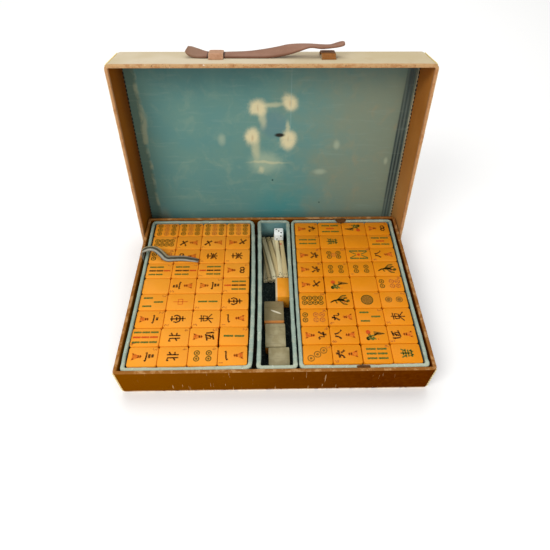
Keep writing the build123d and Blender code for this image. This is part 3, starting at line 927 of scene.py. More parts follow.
# %% A tree that sets a shape on places
set_out = Growth("set_out", Shape="Object", Finish="Material", Looseness="Float", Seed="Int")
shape = set_out.node("GeometryNodeObjectInfo", None, (set_out["Shape"],), output="Geometry")
turn = set_out.node("GeometryNodeInputNamedAttribute", {"data_type": "FLOAT_VECTOR"}, ("turn",))
loose = set_out["Looseness"]
sockets = {2: loose * -1.0, 3: loose, "Seed": set_out["Seed"]}
chance = set_out.node("FunctionNodeRandomValue", {"data_type": "FLOAT"}, sockets, output=1)
swivel = set_out.node("ShaderNodeCombineXYZ", None, {"Z": chance})
turned = set_out.node("ShaderNodeVectorMath", {"operation": "ADD"}, (turn, swivel))
sockets = {"Points": set_out["Places"], "Instance": shape, "Rotation": turned}
set_out.end(set_out.node("GeometryNodeInstanceOnPoints", None, sockets))


def places(rows):
    """Points for a tree: each row is a place, a turn in radians and a tone."""
    mesh = bpy.data.meshes.new("places")
    mesh.from_pydata([row[0] for row in rows], [], [])
    turns = mesh.attributes.new("turn", "FLOAT_VECTOR", "POINT")
    turns.data.foreach_set("vector", [part for row in rows for part in row[1]])
    tones = mesh.attributes.new("tone", "FLOAT", "POINT")
    tones.data.foreach_set("value", [row[2] for row in rows])
    return mesh


def set_copies(name, shape, finish, rows, body, slot, *nodes, looseness=0.0, seed=0):
    """One piece made of copies of a shape, each turned at random by up to looseness radians."""
    values = {"Shape": shape, "Finish": finish.material, "Looseness": looseness, "Seed": seed}
    made = set_out.grow(name, places(rows), **values)
    print(name, len(rows), "copies,", len(made.data.polygons), "faces")
    return dress(made, body, slot, None, *nodes)


print("set_out has", len(set_out.tree.nodes), "nodes")


# %% Draw a block to copy
def soft_block(name, size, edge, segments=2, upright=None):
    """A block with rounded edges that stands on its middle. Its upright edges may be rounder."""
    shape = bmesh.new()
    bmesh.ops.create_cube(shape, size=1.0)
    bmesh.ops.scale(shape, vec=size, verts=shape.verts)
    bmesh.ops.translate(shape, vec=(0, 0, size[2] / 2), verts=shape.verts)
    rounding = {"segments": segments, "profile": 0.5, "affect": "EDGES"}
    if upright:
        corners = [e for e in shape.edges if abs(e.verts[0].co.z - e.verts[1].co.z) > size[2] / 2]
        bmesh.ops.bevel(shape, geom=corners, offset=upright, **rounding)
        rims = [e for e in shape.edges if abs(e.verts[0].co.z - e.verts[1].co.z) < size[2] / 2]
        bmesh.ops.bevel(shape, geom=rims, offset=edge, **rounding)
    else:
        bmesh.ops.bevel(shape, geom=shape.edges, offset=edge, **rounding)
    mesh = bpy.data.meshes.new(name)
    shape.to_mesh(mesh)
    shape.free()
    return add_object(name, mesh)


STITCH = Vector((4.2, 1.0, 0.9)) * MM
stitch_block = soft_block("stitch_block", STITCH, 0.35 * MM)
print("a stitch has", len(stitch_block.data.polygons), "faces")

# %% [markdown]
# ## The trays
#
# Each tray is card covered in cloth, with a soft padded roll glued along its rim. The wall is one
# closed shell, drawn by the same walk round an outline, and its upper part leans in a little, as
# old card does. The roll is a separate ring whose thickness varies.

# %% Cloth of the trays
tray_cloth = Finish("tray_cloth", roughness=0.9, Specular_IOR_Level=0.2)


def cloth_colour(finish):
    _, y, z = finish.axes()
    u, v, _ = finish.axes(finish.uv())
    threads = 2 * math.pi / (0.9 * MM)
    weave = (u * threads).sine() * (v * threads).sine() * 0.5 + 0.5
    cloud = finish.noise(14 * MM, 4, 0.6)
    fine = finish.noise(1.5 * MM, 3, 0.7)
    slumped = y.ramp(-90 * MM, -105 * MM) * (3.6 * MM)
    rim = (z + slumped).ramp(RIM_LOW - 1.5 * MM, RIM_LOW + 0.6 * MM)
    # deep: painted shade, the cloth turns near black low in the tray, between the tiles and the
    # walls
    deep = z.ramp(26 * MM, 8 * MM)
    frays = finish.noise(1.4 * MM, 2, 0.6).ramp(0.63, 0.67)
    frays = frays * finish.noise(8 * MM, 3).ramp(0.48, 0.6) * rim
    dirt = finish.noise(7 * MM, 4, 0.65).ramp(0.55, 0.72)
    blotches = (cloud * 0.5 + dirt * 0.2 + fine * 0.3).ramp(0.36, 0.6)
    finish.layers(
        paint(94, 132, 134),
        (cloud.ramp(0.35, 0.65) * 0.6, paint(112, 150, 146)),
        # painted shade low in the tray
        (deep * 0.95, paint(16, 20, 18)),
        (rim, finish.mix(blotches, paint(144, 162, 148), paint(180, 188, 168))),
        (y.ramp(-97 * MM, -103 * MM) * rim * 0.7, paint(190, 196, 172)),
        (dirt * rim * 0.45, paint(104, 112, 92)),
        (frays * 0.9, paint(236, 238, 226)),
        (fine.ramp(0.5, 0.7) * 0.15, paint(190, 204, 192)),
    )
    finish.bump(weave * 0.5 + fine * 0.5, 0.12 * MM, 0.6)


TRAY_WALL = 3.4 * MM
RIM_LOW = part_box("left_tray_rim")[0].z
TRAY_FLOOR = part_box("left_tiles_lower")[0].z
cloth_colour(tray_cloth)
print(tray_cloth.material.name, len(tray_cloth.tree.nodes), "nodes")

# %% How the old trays have bent, in mm
# For a tray's left and right walls: how far the top leans in, half the width of its roll, how far
# the roll is shifted in, and how near the outside it may come. ENDS has the same for the front wall
# and the back one.
WALLS = {
    "left": ((1.8, 1.8, 0.7, -0.5), (-3.4, 2.2, 0.1, -0.5)),
    "centre": ((1.8, 2.3, 0.3, -0.5), (0.9, 2.2, 0.3, -0.5)),
    "right": ((-0.9, 1.8, 0.0, -0.3), (1.5, 1.8, 0.6, -0.5)),
}
ENDS = ((0.0, 2.5, 0.2, -0.45), (0.0, 1.6, 0.6, -0.2))
# How far each tray's front rim has sunk, at three places from left to right.
SLUMPS = {"left": (3.5, 3.5, 1.8), "centre": (2.6, 2.6, 2.6), "right": (3.0, 4.0, 2.2)}
SLUMP_PLACES = (-56, 12, 58)
BACK_SINK = 0.5
TRAY_HALF_LONG = 108 * MM
# Where each change begins and the length that it takes: side walls into end walls, upright walls
# into leaning ones, and level rims into sunken ones at the front and at the back.
ENDS_FROM, LEANS_FROM, FRONT_FROM, BACK_FROM = (98, 7), (18, 22), (88, 17), (97, 8)


def grown(amount, start, over):
    """0 up to start and then evenly up to 1, both in mm, for an amount in metres."""
    return min(max((amount - start * MM) / (over * MM), 0.0), 1.0)


print("front rims sink by up to", max(max(slump) for slump in SLUMPS.values()), "mm")


# %% Lean and sink of a tray's walls
def tray_wall(name, place):
    """Lean, half width, shift and limit of the rim at a place, in mm, blended at the corners."""
    share = grown(abs(place[1]), *ENDS_FROM)
    pair = WALLS[name][int(place[0] > 0)], ENDS[int(place[1] > 0)]
    return [a + (b - a) * share for a, b in zip(*pair)]


def tray_lean(name, place, z, seed):
    """How far a tray's wall leans in at a height, most in the middle of its long sides."""
    middle = math.cos(math.pi * place[1] / (2 * TRAY_HALF_LONG)) ** 0.6
    sway = 0.92 + 0.14 * ripple(*place, 0, 45 * MM, seed)
    lean = tray_wall(name, place)[0] * MM
    buckles = 0.12 * MM * (1 + ripple(*place, 0, 12 * MM, seed))
    return (lean * middle * sway + buckles) * grown(z, *LEANS_FROM) ** 2


def tray_sink(name, place):
    """How far a tray's rim has sunk: most along its front wall, which has slumped."""
    front, back = grown(-place[1], *FRONT_FROM), grown(place[1], *BACK_FROM)
    slump = float(np.interp(place[0] / MM, SLUMP_PLACES, SLUMPS[name]))
    return (slump * front * front * (3 - 2 * front) + BACK_SINK * back) * MM


print("right tray's front rim, in mm", tray_wall("right", (0.01, -0.105)))

# %% Fold the trays and roll their rims
TRAY_CORNER = 6.0 * MM
TRAY_REACH = 8 * MM
ROLL_MIDDLE = 1.55 * MM
ROLL_HALF_TALL = 1.6
ROLL_POINTS = 14


def make_tray(name, seed):
    low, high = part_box(f"{name}_tray_cloth")
    middle_x = (low.x + high.x) / 2
    path = outline((high.x - low.x) / 2, low.y, high.y, TRAY_CORNER, step=2.5 * MM)

    def wall_profile(place):
        levels = np.linspace(low.z + 1 * MM, RIM_LOW + 0.6 * MM - tray_sink(name, place), 8)
        lean = [tray_lean(name, place, z, seed) for z in levels]
        outside = [(0.05 * MM + push, z) for push, z in zip(lean, levels)]
        inside = [(TRAY_WALL + push, z) for push, z in zip(lean, levels) if z > TRAY_FLOOR + 1 * MM]
        return [
            (TRAY_REACH, low.z),
            (0.8 * MM, low.z),
            *outside,
            *reversed(inside),
            (TRAY_WALL + 0.1 * MM, TRAY_FLOOR + 0.7 * MM),
            (TRAY_WALL + 0.8 * MM, TRAY_FLOOR),
            (TRAY_REACH, TRAY_FLOOR),
        ]

    def roll_profile(place):
        puff = 1 + 0.18 * ripple(*place, 0, 9 * MM, seed + 1)
        puff += 0.1 * ripple(*place, 0, 3.5 * MM, seed + 2)
        rise = 0.3 * MM * ripple(*place, 0, 26 * MM, seed + 3) - tray_sink(name, place)
        lean = tray_lean(name, place, RIM_LOW + 1.4 * MM, seed)
        half, inwards, limit = tray_wall(name, place)[1:]
        section = []
        for k in range(ROLL_POINTS):
            angle = 2 * math.pi * k / ROLL_POINTS
            across = TRAY_WALL / MM / 2 + inwards + squarer(math.cos(angle), 0.8) * half * puff
            up = squarer(math.sin(angle), 0.8) * ROLL_HALF_TALL * puff
            section.append((max(across, limit) * MM + lean, RIM_LOW + ROLL_MIDDLE + rise + up * MM))
        return section

    points, uv, faces = around(path, wall_profile, closed_profile=False)
    shell = solid(f"{name}_tray_shell", points + [middle_x, 0, 0], faces, uv, sharp=60)
    nodes = f"{name}_tray_card", f"{name}_tray_cloth"
    dress(shell, f"{name}_tray", "tray_cloth", tray_cloth, *nodes)
    points, uv, faces = around(path, roll_profile)
    roll = solid(f"{name}_tray_rim_roll", points + [middle_x, 0, 0], faces, uv, sharp=60)
    dress(roll, f"{name}_tray", "tray_cloth", tray_cloth, f"{name}_tray_rim")
    print(name, "tray", len(path["places"]), "stations")


for seed, name in enumerate(("left", "centre", "right")):
    make_tray(name, 11.0 + seed)

# %% [markdown]
# ## Amber tiles
#
# The tiles are cast resin, a warm amber that glows where light enters its edges. Two layers of
# thirty-six fill each big tray. Every tile is the same rounded block, and an attribute carries a
# tone to each copy, so that neighbours differ a little.

# %% Amber resin
amber_resin = Finish("amber_resin", roughness=0.3, Specular_IOR_Level=0.09)


def amber_colour(finish):
    tone = finish.attribute("tone")
    x, _, z = finish.axes()
    swirl = finish.noise(26 * MM, 3, 0.5, warp=0.8)
    scratches = finish.noise(1.2 * MM, 3, 0.7, stretch=(0.15, 1.0, 1.0))
    shade = tone * 0.6 + swirl * 0.4
    # Painted shade: the tiles' sides below their tops, and the whole lower layer, darken to
    # red-brown
    painted_gap_shade = z.ramp(TILE_TOP - 2.4 * MM, TILE_TOP - 7 * MM)
    finish.layers(
        paint(238, 154, 44),
        # painted shade: tiles towards the right, further from the key light, a deeper and darker
        # orange
        (x.ramp(-0.03, 0.06) * 0.75, paint(219, 131, 3)),
        (shade.ramp(0.3, 0.75) * 0.45, paint(232, 140, 22)),
        # painted shade between the tiles
        (painted_gap_shade * 0.9, paint(112, 36, 0)),
        (scratches.ramp(0.7, 0.78) * 0.12, paint(255, 205, 120)),
    )
    finish.set("Roughness", 0.26 + scratches * 0.16)
    finish.bump(scratches, 0.02 * MM, 0.3)


TILE = Vector((30.0, 22.5, 16.1)) * MM
TILE_GAP = Vector((0.2, 0.2, 0)) * MM
TILE_TOP = TRAY_FLOOR + 2 * TILE.z
TILE_EDGE, TILE_CORNER = 0.9 * MM, 2.1 * MM
amber_colour(amber_resin)
print(amber_resin.material.name, len(amber_resin.tree.nodes), "nodes")


# %% Set the tiles out
SIDES = {"left": -1, "right": 1}
ROWS, COLUMNS = 9, 4
BIG_TRAY_X = 88.6 * MM
STEP_X, STEP_Y = 30.2 * MM, 22.7 * MM
TIPPED_TILE = ("left", 7, 3)


def slip(side, row, column):
    """How far an upper tile has slid to the left."""
    if side == "left":
        return 0.9 * MM if row == 7 and column < 3 else 0.0
    if (row == 4 and column == 0) or (row == 5 and column < 2):
        return 0.5 * MM
    return 0.4 * MM if row > 5 and column < 2 else 0.0


def tile_spot(side, level, row, column):
    """A tile's place and turn. One tile leans on its neighbour."""
    x = SIDES[side] * BIG_TRAY_X + (column - (COLUMNS - 1) / 2) * STEP_X
    y, z, lean = ((ROWS - 1) // 2 - row) * STEP_Y, TRAY_FLOOR + level * TILE.z, 0.0
    if level:
        x -= slip(side, row, column)
        if (side, row, column) == TIPPED_TILE:
            lean = math.radians(2.5)
            x -= 0.15 * MM
            z += math.sin(lean) * TILE.x / 2
    return (x, y, z), (0.0, lean, 0.0)


random.seed(17)
tile_block = soft_block("tile_block", TILE - TILE_GAP, TILE_EDGE, upright=TILE_CORNER)
for side in SIDES:
    for level, layer in enumerate(("lower", "upper")):
        spots = [tile_spot(side, level, k // COLUMNS, k % COLUMNS) for k in range(ROWS * COLUMNS)]
        rows = [(place, turn, random.random()) for place, turn in spots]
        name, node = f"{side}_{layer}_tiles", f"{side}_tiles_{layer}"
        dressing = f"{side}_tray", "amber_resin", node
        set_copies(name, tile_block, amber_resin, rows, *dressing, looseness=0.004, seed=level)

# %% [markdown]
# ## Marks on the tiles
#
# Each tile is cut and painted with a traditional mark: dots, bamboo sticks, a numeral over a red
# sign, or an ornament of a few strokes. A mark is drawn as lines in the tile's own plane, with `a`
# to its right and `b` up it, and every line becomes a thin strip of paint, wider in its middle.
# Lines are written down as text: numbers a and b of each point, then a comma before the next point
# or a stroke before the next line.

# %% Lines of each mark, in millimetres
INKS = {
    "green": (60, 64, 10), "red": (196, 66, 20), "black": (40, 16, 4),
    "brown": (128, 88, 24), "leaf": (58, 94, 36), "rust": (168, 88, 40), "sign": (198, 90, 20),
}
NUMERALS = {
    1: "5 1, 3.8 0, 0 0.1, -3.6 -0.3, -5 -1.6",
    2: "-2.2 1.2, 1.6 1 / -5 -2.6, -3.8 -2, 1 -2.2, 4 -2.4, 5.2 -3.4",
    3: "-2.4 3.2, 1.2 3 / -2.6 0.2, 1.8 0.2 / -4.6 -3.2, -3.6 -2.4, 1 -2.6, 4 -2.8, 5.4 -3.8",
    4: "0 1.2, -2 2.2, -4.2 1, -4 -1.2, -2 -2, 0 -0.6, 0.2 1, 2.2 2.2, 4.2 1, 3.8 -1.4, 2 -2, "
       "0 -0.6",
    5: "-4.4 3.8, -5.2 1 / -4.8 2, -4.2 -3.8 / -2.4 2.4, 3.8 3.8 / 1.2 3.2, -1.8 -3 / -2.2 -0.4, "
       "2.6 0.9, 1.6 -2.8 / -3.2 -4.2, 4.8 -2.4",
    6: "0.2 4.2, 1 2.6 / -4.2 0.9, 4.4 2 / -0.8 0, -2.4 -2.4, -4.6 -3.2 / 1.4 -0.4, 2.6 -2.2, "
       "4.4 -4",
    7: "2.6 -4.3, -0.2 -0.4, -4.2 3.6 / 2.8 1.2, -0.8 -0.9, -4.8 -2.9, -5.2 -1.6",
    8: "-1.4 3, -2.2 -0.2, -4.8 -2.8 / 1 3.4, 2 0.2, 5.2 -3.4, 5.6 -2.4",
    9: "-4 1, 2.2 1.9, 1.9 -2.2, 3.4 -3.2, 5 -2 / -0.6 4.2, -1 0.4, -4.2 -3.4",
}
RED_SIGN = "-2.2 0.9, 2.2 1.1 / -2.1 3, 2.1 3.2 / -4.4 -5.6, -2.8 -3.4 / 4.4 -5.6, 2.8 -3.4"
SIGN_BODY, SIGN_WIDTHS = "0 -5.2, 0 -3.6, 0 -1.4, 0 1, 0 4.6", (6.4, 7.0, 5.0, 2.8, 1.8)
ORNAMENTS = {
    "w1": ("black", "-4 5, 4 5.2 / 0 7, 0 -6.4 / -5 1.4, -1 0 / 5 1.6, 1 0 / -5 -5.4, -1 -2.6 / "
                    "5 -5.2, 1 -2.4 / -4 -1, 4 -1.4"),
    "w2": ("black", "-3 6.4, 3.6 6.8 / -0.2 8.4, 0.2 -8.2 / -3.2 -5.4, 3.4 -4.8 / -3.6 4.4, "
                    "-4.6 1.6, -3.2 -1.6, 0 -2.6, 3.2 -1.4, 4.6 1.8, 3.4 4.6 / -2.4 1.2, 2.4 1.6"),
    "w3": ("black", "-4.2 5, 4.6 5.6 / 0 7.8, -0.2 -7.6 / -3.2 3, 3.4 3.4, 2.8 -0.9, -2.8 -1.1, "
                    "-3.2 3 / -0.6 -1.8, -5.6 -6.2 / 0.6 -1.8, 5.8 -6"),
    "w4": ("black", "-1.6 6, -1.8 -6 / 1.6 6, 1.8 -4.6, 4.8 -5.4, 5 -3.6 / -5 2, -1.8 2 / -5 -4, "
                    "-1.8 -2 / 4.8 3, 1.8 1"),
    "g": ("leaf", "-4.4 5, 4.4 5 / -1.6 7, -3 3 / 1.6 7, 3 3 / -4 1.6, 4 1.6 / -4.8 -1, 4.8 -1 / "
                  "-2.6 -1, -4.8 -5.6 / 2.6 -1, 4.8 -5.6 / -2.4 -3.6, 2.4 -3.6 / 0 5, 0 -6.4"),
    "r": ("red", "-3.4 2.4, 3.4 2.4, 3.4 -2.4, -3.4 -2.4, -3.4 2.4 / 0 8, 0 -8"),
    "f": ("leaf", "4 -8, 2 -3, 1 1 / 2 -3, 6 -4 / 3 -1, 6 2 / 1 1, -2 5 / 5 -8, 6.4 -5"),
    "s": ("green", "3.4 -10.5, 0.6 -6, -0.6 -1, 0.4 4, 3 9 / -0.6 -2, -5.6 3, -6.4 8 / 0 1, "
                   "-3 8.6 / 1 0, 5.4 4, 6.2 8.4 / 0.4 -5, 4.6 -3"),
}
DIGITS = {
    1: "0 1.4, 0 -1.4",
    2: "-0.9 1, 0 1.4, 0.9 0.7, -0.9 -1.4, 0.9 -1.4",
    3: "-0.9 1.4, 0.9 1.4, 0 0.2, 0.9 -0.5, 0 -1.4, -0.9 -1.1",
    4: "0.5 -1.4, 0.5 1.4, -0.9 -0.4, 1 -0.4",
    5: "0.9 1.4, -0.8 1.4, -0.8 0.2, 0.5 0.2, 0.9 -0.6, 0.3 -1.4, -0.9 -1.2",
    6: "0.8 1.4, -0.8 0.2, -0.8 -1, 0 -1.4, 0.8 -0.8, 0.2 0, -0.8 -0.2",
    7: "-0.9 1.4, 0.9 1.4, -0.2 -1.4",
    8: "0.9 0.8, 0 1.4, -0.9 0.8, 0.9 -0.8, 0 -1.4, -0.9 -0.8, 0.9 0.8",
    9: "0.8 0.4, 0 0, -0.8 0.6, 0 1.4, 0.8 0.8, 0.6 -1.4",
}


def strokes(text):
    """The lines of points that a text tells."""
    return [[tuple(float(part) for part in point.split()) for point in line.split(",")]
            for line in text.split("/")]


print("a 5 has", len(strokes(NUMERALS[5])), "strokes")

# %% Where each tile's marks go
DOT_PLACES = {
    2: ((0, 6), (0, -6)),
    3: ((4.4, -6.8), (0, 0), (-4.4, 6.6)),
    4: ((-3.3, 6.1), (3.3, 6.1), (-3.3, -6.1), (3.3, -6.1)),
    5: ((-3.2, 5.6), (3.2, 5.6), (0, 0), (-3.2, -5.6), (3.2, -5.6)),
    6: ((-3.4, -9.6), (3.4, -9.6), (-3.4, 2), (3.4, 2), (-3.4, 8.8), (3.4, 8.8)),
    8: tuple((a, b) for b in (9, 3, -3, -9) for a in (-3.2, 3.2)),
    9: tuple((a, b) for b in (8.6, 0, -8.6) for a in (-6.9, 0, 6.9)),
}
DOT_SIZES = {2: (3.5, 0.7), 3: (3.3, 0.46)}  # a dot's radius, and its middle's share of that
DOT_INKS = {
    2: ("brown",) * 2,
    3: ("brown",) * 3,
    5: ("green", "green", "rust", "green", "green"),
    6: ("green", "green", "rust", "rust", "rust", "rust"),
    9: ("green",) * 3 + ("rust",) * 3 + ("green",) * 3,
}
BAMBOO_PLACES = {
    2: ((0, 5.7), (0, -5.7)),
    3: ((0, 6), (-5.6, -6), (5.6, -6)),
    4: ((-3.2, 5.6), (3.2, 5.6), (-3.2, -5.6), (3.2, -5.6)),
    5: ((-5.4, 5.7), (5.4, 5.7), (0, 0), (-5.4, -5.7), (5.4, -5.7)),
    6: tuple((a, b) for b in (5.6, -5.6) for a in (-5.4, 0, 5.4)),
    7: ((0, 9.4), *((a, b) for b in (0.9, -7.6) for a in (-5.6, 0, 5.6))),
    9: tuple((a, b) for b in (8.9, 0, -8.9) for a in (-6, 0, 6)),
}
BAMBOO_LONG = {7: 7.8, 9: 8.2}
BAMBOO_INKS = {
    5: ("leaf", "leaf", "red", "leaf", "leaf"),
    7: ("red", "leaf", "black", "leaf", "leaf", "black", "leaf"),
    9: ("leaf", "red", "leaf") * 3,
}
# d: dots, b: bamboo, m: a numeral; a full stop: no mark; the others are ornaments. A sign after
# it, + or -, says which way up the mark is.
TILE_MARKS = {
    "left": "d9+ d9+ d9+ d9+ / d8+ m7- m7- m7+ / d6+ m4- w1- w1- / b7+ b7+ b7- m4+ / "
            ". m3- m3+ b7- / b3+ r b2- w2- / m2+ w2- w3- m1- / b9- w4+ m5+ b2+ / m3+ w4+ d4+ m1-",
    "right": "m9+ b5+ f- m4+ / b4+ g . b5+ / m6+ d5+ b8+ m8- / m6+ d4+ d4- s / m7+ f . d6+ / "
             "d8+ s d1+ d2+ / d6+ m9- b3+ w3- / m9+ m8- f m5- / d3+ m6- b6+ g",
}
print("marks for", sum(len(text.replace("/", "").split()) for text in TILE_MARKS.values()), "tiles")


# %% Turn lines into strips of paint
def unit(ways):
    return ways / (np.linalg.norm(ways, axis=1, keepdims=True) + 1e-9)


def strip(line, width=0.95, pinch=0.5, closed=False, widths=None):
    """A strip along a line: points (a, b, up or down) and faces."""
    line = np.array(line, float)
    ahead = np.roll(line, -1, 0) - line
    behind = line - np.roll(line, 1, 0)
    if not closed:
        ahead[-1], behind[0] = behind[-1], ahead[0]
    way = unit(unit(ahead) + unit(behind))
    beside = np.stack([-way[:, 1], way[:, 0]], 1)
    share = np.abs(np.linspace(-1, 1, len(line)))
    wide = np.full(len(line), width) if closed else width * (1 - pinch * share**3)
    half = (np.array(widths) if widths else wide)[:, None] / 2
    left, right = line + beside * half, line - beside * half
    points = []
    for a, b in zip(left, right):
        points += [(*a, -1), (*b, -1), (*b, 1), (*a, 1)]
    faces = grid(len(line), 4, True)
    last = 4 * (len(line) - 1)
    if closed:
        faces += [(last + j, last + (j + 1) % 4, (j + 1) % 4, j) for j in range(4)]
    else:
        faces += [(0, 1, 2, 3), tuple(last + j for j in range(4))]
    return points, faces


def circle(at, radius, sides=12):
    turns = [2 * math.pi * k / sides for k in range(sides)]
    return [(at[0] + radius * math.cos(t), at[1] + radius * math.sin(t)) for t in turns]


def disc(at, radius, sides=8):
    rim = circle(at, radius, sides)
    points = [(*p, -1) for p in rim] + [(*p, 1) for p in rim]
    return points, [*grid(2, sides, True), tuple(range(sides)), tuple(range(sides, 2 * sides))]


def pill(at, long):
    """A stick of bamboo with its knots: wide at its ends and thinner between them."""
    line = [(at[0], at[1] + long * t) for t in (-0.5, -0.42, -0.2, -0.05, 0.05, 0.2, 0.42, 0.5)]
    return strip(line, widths=[1.3, 2.4, 1.9, 2.3, 2.3, 1.9, 2.4, 1.3])


def moved(line, scale, shift):
    return [(a * scale[0] + shift[0], b * scale[1] + shift[1]) for a, b in line]


print("a bamboo stick has", len(pill((0, 0), 10)[1]), "faces")


# %% Draw dots, bamboo and numerals, as inks and shapes
def dot_marks(number):
    if number == 1:
        ring = strip(circle((0, 0), 6.3, 20), 1.3, closed=True)
        return [("green", ring), ("brown", disc((0, 0), 5.5, 16))]
    radius, share = DOT_SIZES.get(number, (2.6, 0.46))
    places = DOT_PLACES[number]
    drawn = []
    for at, ink in zip(places, DOT_INKS.get(number, ("green",) * len(places))):
        drawn.append((ink, strip(circle(at, radius), 1.1, closed=True)))
        drawn.append((ink, disc(at, radius * share)))
    return drawn


def bamboo_marks(number):
    if number != 8:
        places = BAMBOO_PLACES[number]
        inks = BAMBOO_INKS.get(number, ("leaf",) * len(places))
        return [(ink, pill(at, BAMBOO_LONG.get(number, 10.2))) for at, ink in zip(places, inks)]
    drawn = []
    for side in (-1, 1):
        for b in (-5.6, 5.6):
            drawn.append(("leaf", pill((side * 6, b), 10.4)))
            drawn.append(("leaf", strip([(side * 5, 1.9 * b), (side * 0.8, 0.6 * b)], 1.7, 0.3)))
    return [*drawn, ("red", disc((0, 0), 1.9))]


def numeral_marks(number):
    width, above, below = 1.15 if number == 5 else 1.55, (0, 6.6), (0, -5.4)
    lines = [moved(line, (1, 1.1), above) for line in strokes(NUMERALS[number])]
    drawn = [("black", strip(line, width, -0.55)) for line in lines]
    body = moved(strokes(SIGN_BODY)[0], (1, 1), below)
    drawn.append(("sign", strip(body, widths=SIGN_WIDTHS)))
    lines = [moved(line, (0.9, 1), below) for line in strokes(RED_SIGN)]
    return drawn + [("sign", strip(line, 1.35, 0.25)) for line in lines]


print("a one of numerals has", len(numeral_marks(1)), "shapes")

# %% Draw ornaments, and find a tile's marks
SPIRE = strip([(-1.4, 0.4), (-1.3, 3.6), (-1, 8), (-0.8, 12)], widths=[5.4, 4.4, 2.8, 0.8])
FULLER_SHAPES = {
    "f": [
        ("brown", SPIRE),
        ("rust", strip([(-1.3, 3), (-0.8, 11)], 1.3, 0.4)),
        ("red", disc((-3, -5.4), 2.6, 10)),
        ("leaf", disc((5, -6.4), 2.1)),
        ("leaf", disc((5.4, -1.6), 1.8)),
        ("brown", disc((0.4, -4.4), 1.7)),
        ("red", strip([(5, 4), (6.4, 4.4)], 1.4, 0.2)),
    ],
    "s": [
        ("green", strip([(0.4, -3), (-0.6, 1), (0.8, 5)], 4.2, 0.5)),
        ("green", disc((1.2, 9.4), 2.0)),
        ("brown", strip([(-2.6, 2), (-3.6, 6), (-2.4, 9)], 2.2, 0.5)),
        ("rust", disc((2.6, 4.6), 1.7)),
        ("black", strip([(2.8, -10), (0.8, -6.4), (0.2, -3)], 1.2, 0.2)),
    ],
}


def ornament_marks(name):
    ink, text = ORNAMENTS[name]
    width = {"r": 0.9, "w3": 1.6}.get(name, 1.9)
    return [(ink, strip(line, width, 0.2)) for line in strokes(text)] + FULLER_SHAPES.get(name, [])


def marks_of(code):
    """The marks on one tile, each as its ink and its points and faces."""
    name = code.rstrip("+-")
    if name == ".":
        return []
    number = int(name[1:] or 0)
    kinds = {"d": dot_marks, "b": bamboo_marks, "m": numeral_marks}
    drawn = kinds[name[0]](number) if name[0] in kinds else ornament_marks(name)
    if number:
        digit = moved(strokes(DIGITS[number])[0], (1.4, 1.4), (-8.2, 11.4))
        drawn.append(("rust", strip(digit, 0.8, 0.0)))
    return drawn


print("a nine of dots has", len(marks_of("d9+")), "shapes")

# %% Paint the marks on the tiles
PAINT_HALF = 0.06 * MM
PAINT_MIDDLE = TILE.z + 0.02 * MM
mark_paints = []
for ink, colour in INKS.items():
    finish = Finish(f"{ink}_tile_paint", roughness=0.6, Specular_IOR_Level=0.1)
    patch, loss = (2.0, 0.65) if ink in ("sign", "rust") else (1.3, 0.3)
    thin = finish.noise(patch * MM, 3, 0.65)
    finish.layers(paint(*colour), (thin.ramp(0.44, 0.6) * loss, paint(228, 142, 34)))
    finish.bump(thin, 0.03 * MM, 0.4)
    mark_paints.append(finish)

for side, text in TILE_MARKS.items():
    points, faces, inks = [], [], []
    for row, line in enumerate(text.split(" / ")):
        for column, code in enumerate(line.split()):
            place, turn = tile_spot(side, 1, row, column)
            onto = Matrix.Translation(place) @ Euler(turn).to_matrix().to_4x4()
            way = -MM if code.endswith("-") else MM
            for ink, (drawn, drawn_faces) in marks_of(code):
                first = len(points)
                for a, b, up in drawn:
                    spot = Vector((way * b, -way * a, PAINT_MIDDLE + up * PAINT_HALF))
                    points.append(tuple(onto @ spot))
                faces += [tuple(first + corner for corner in face) for face in drawn_faces]
                inks += [list(INKS).index(ink)] * len(drawn_faces)
    marks = solid(f"{side}_tile_marks", points, faces, face_finish=inks, sharp=30)
    dress(marks, f"{side}_tray", "amber_resin", mark_paints)
    print(side, "marks", len(marks.data.polygons), "faces")

# %% [markdown]
# ## The middle tray
#
# Three tiles with grey backs, one spare tile on its side, a bundle of bone counting sticks and a
# die fill the middle tray. The sticks lie in six fanned layers. Each layer's fan is worked out
# from the room between the walls, so that no stick runs into the cloth.

# %% Resin with grey backs, and the spare tile's
grey_resin = Finish("grey_backed_resin", roughness=0.5, Specular_IOR_Level=0.2)
# Where a painted highlight, a pale glint, lies on the grey back of the rearmost grey tile
GLINT_AT = (2.2 * MM, -26.5 * MM)


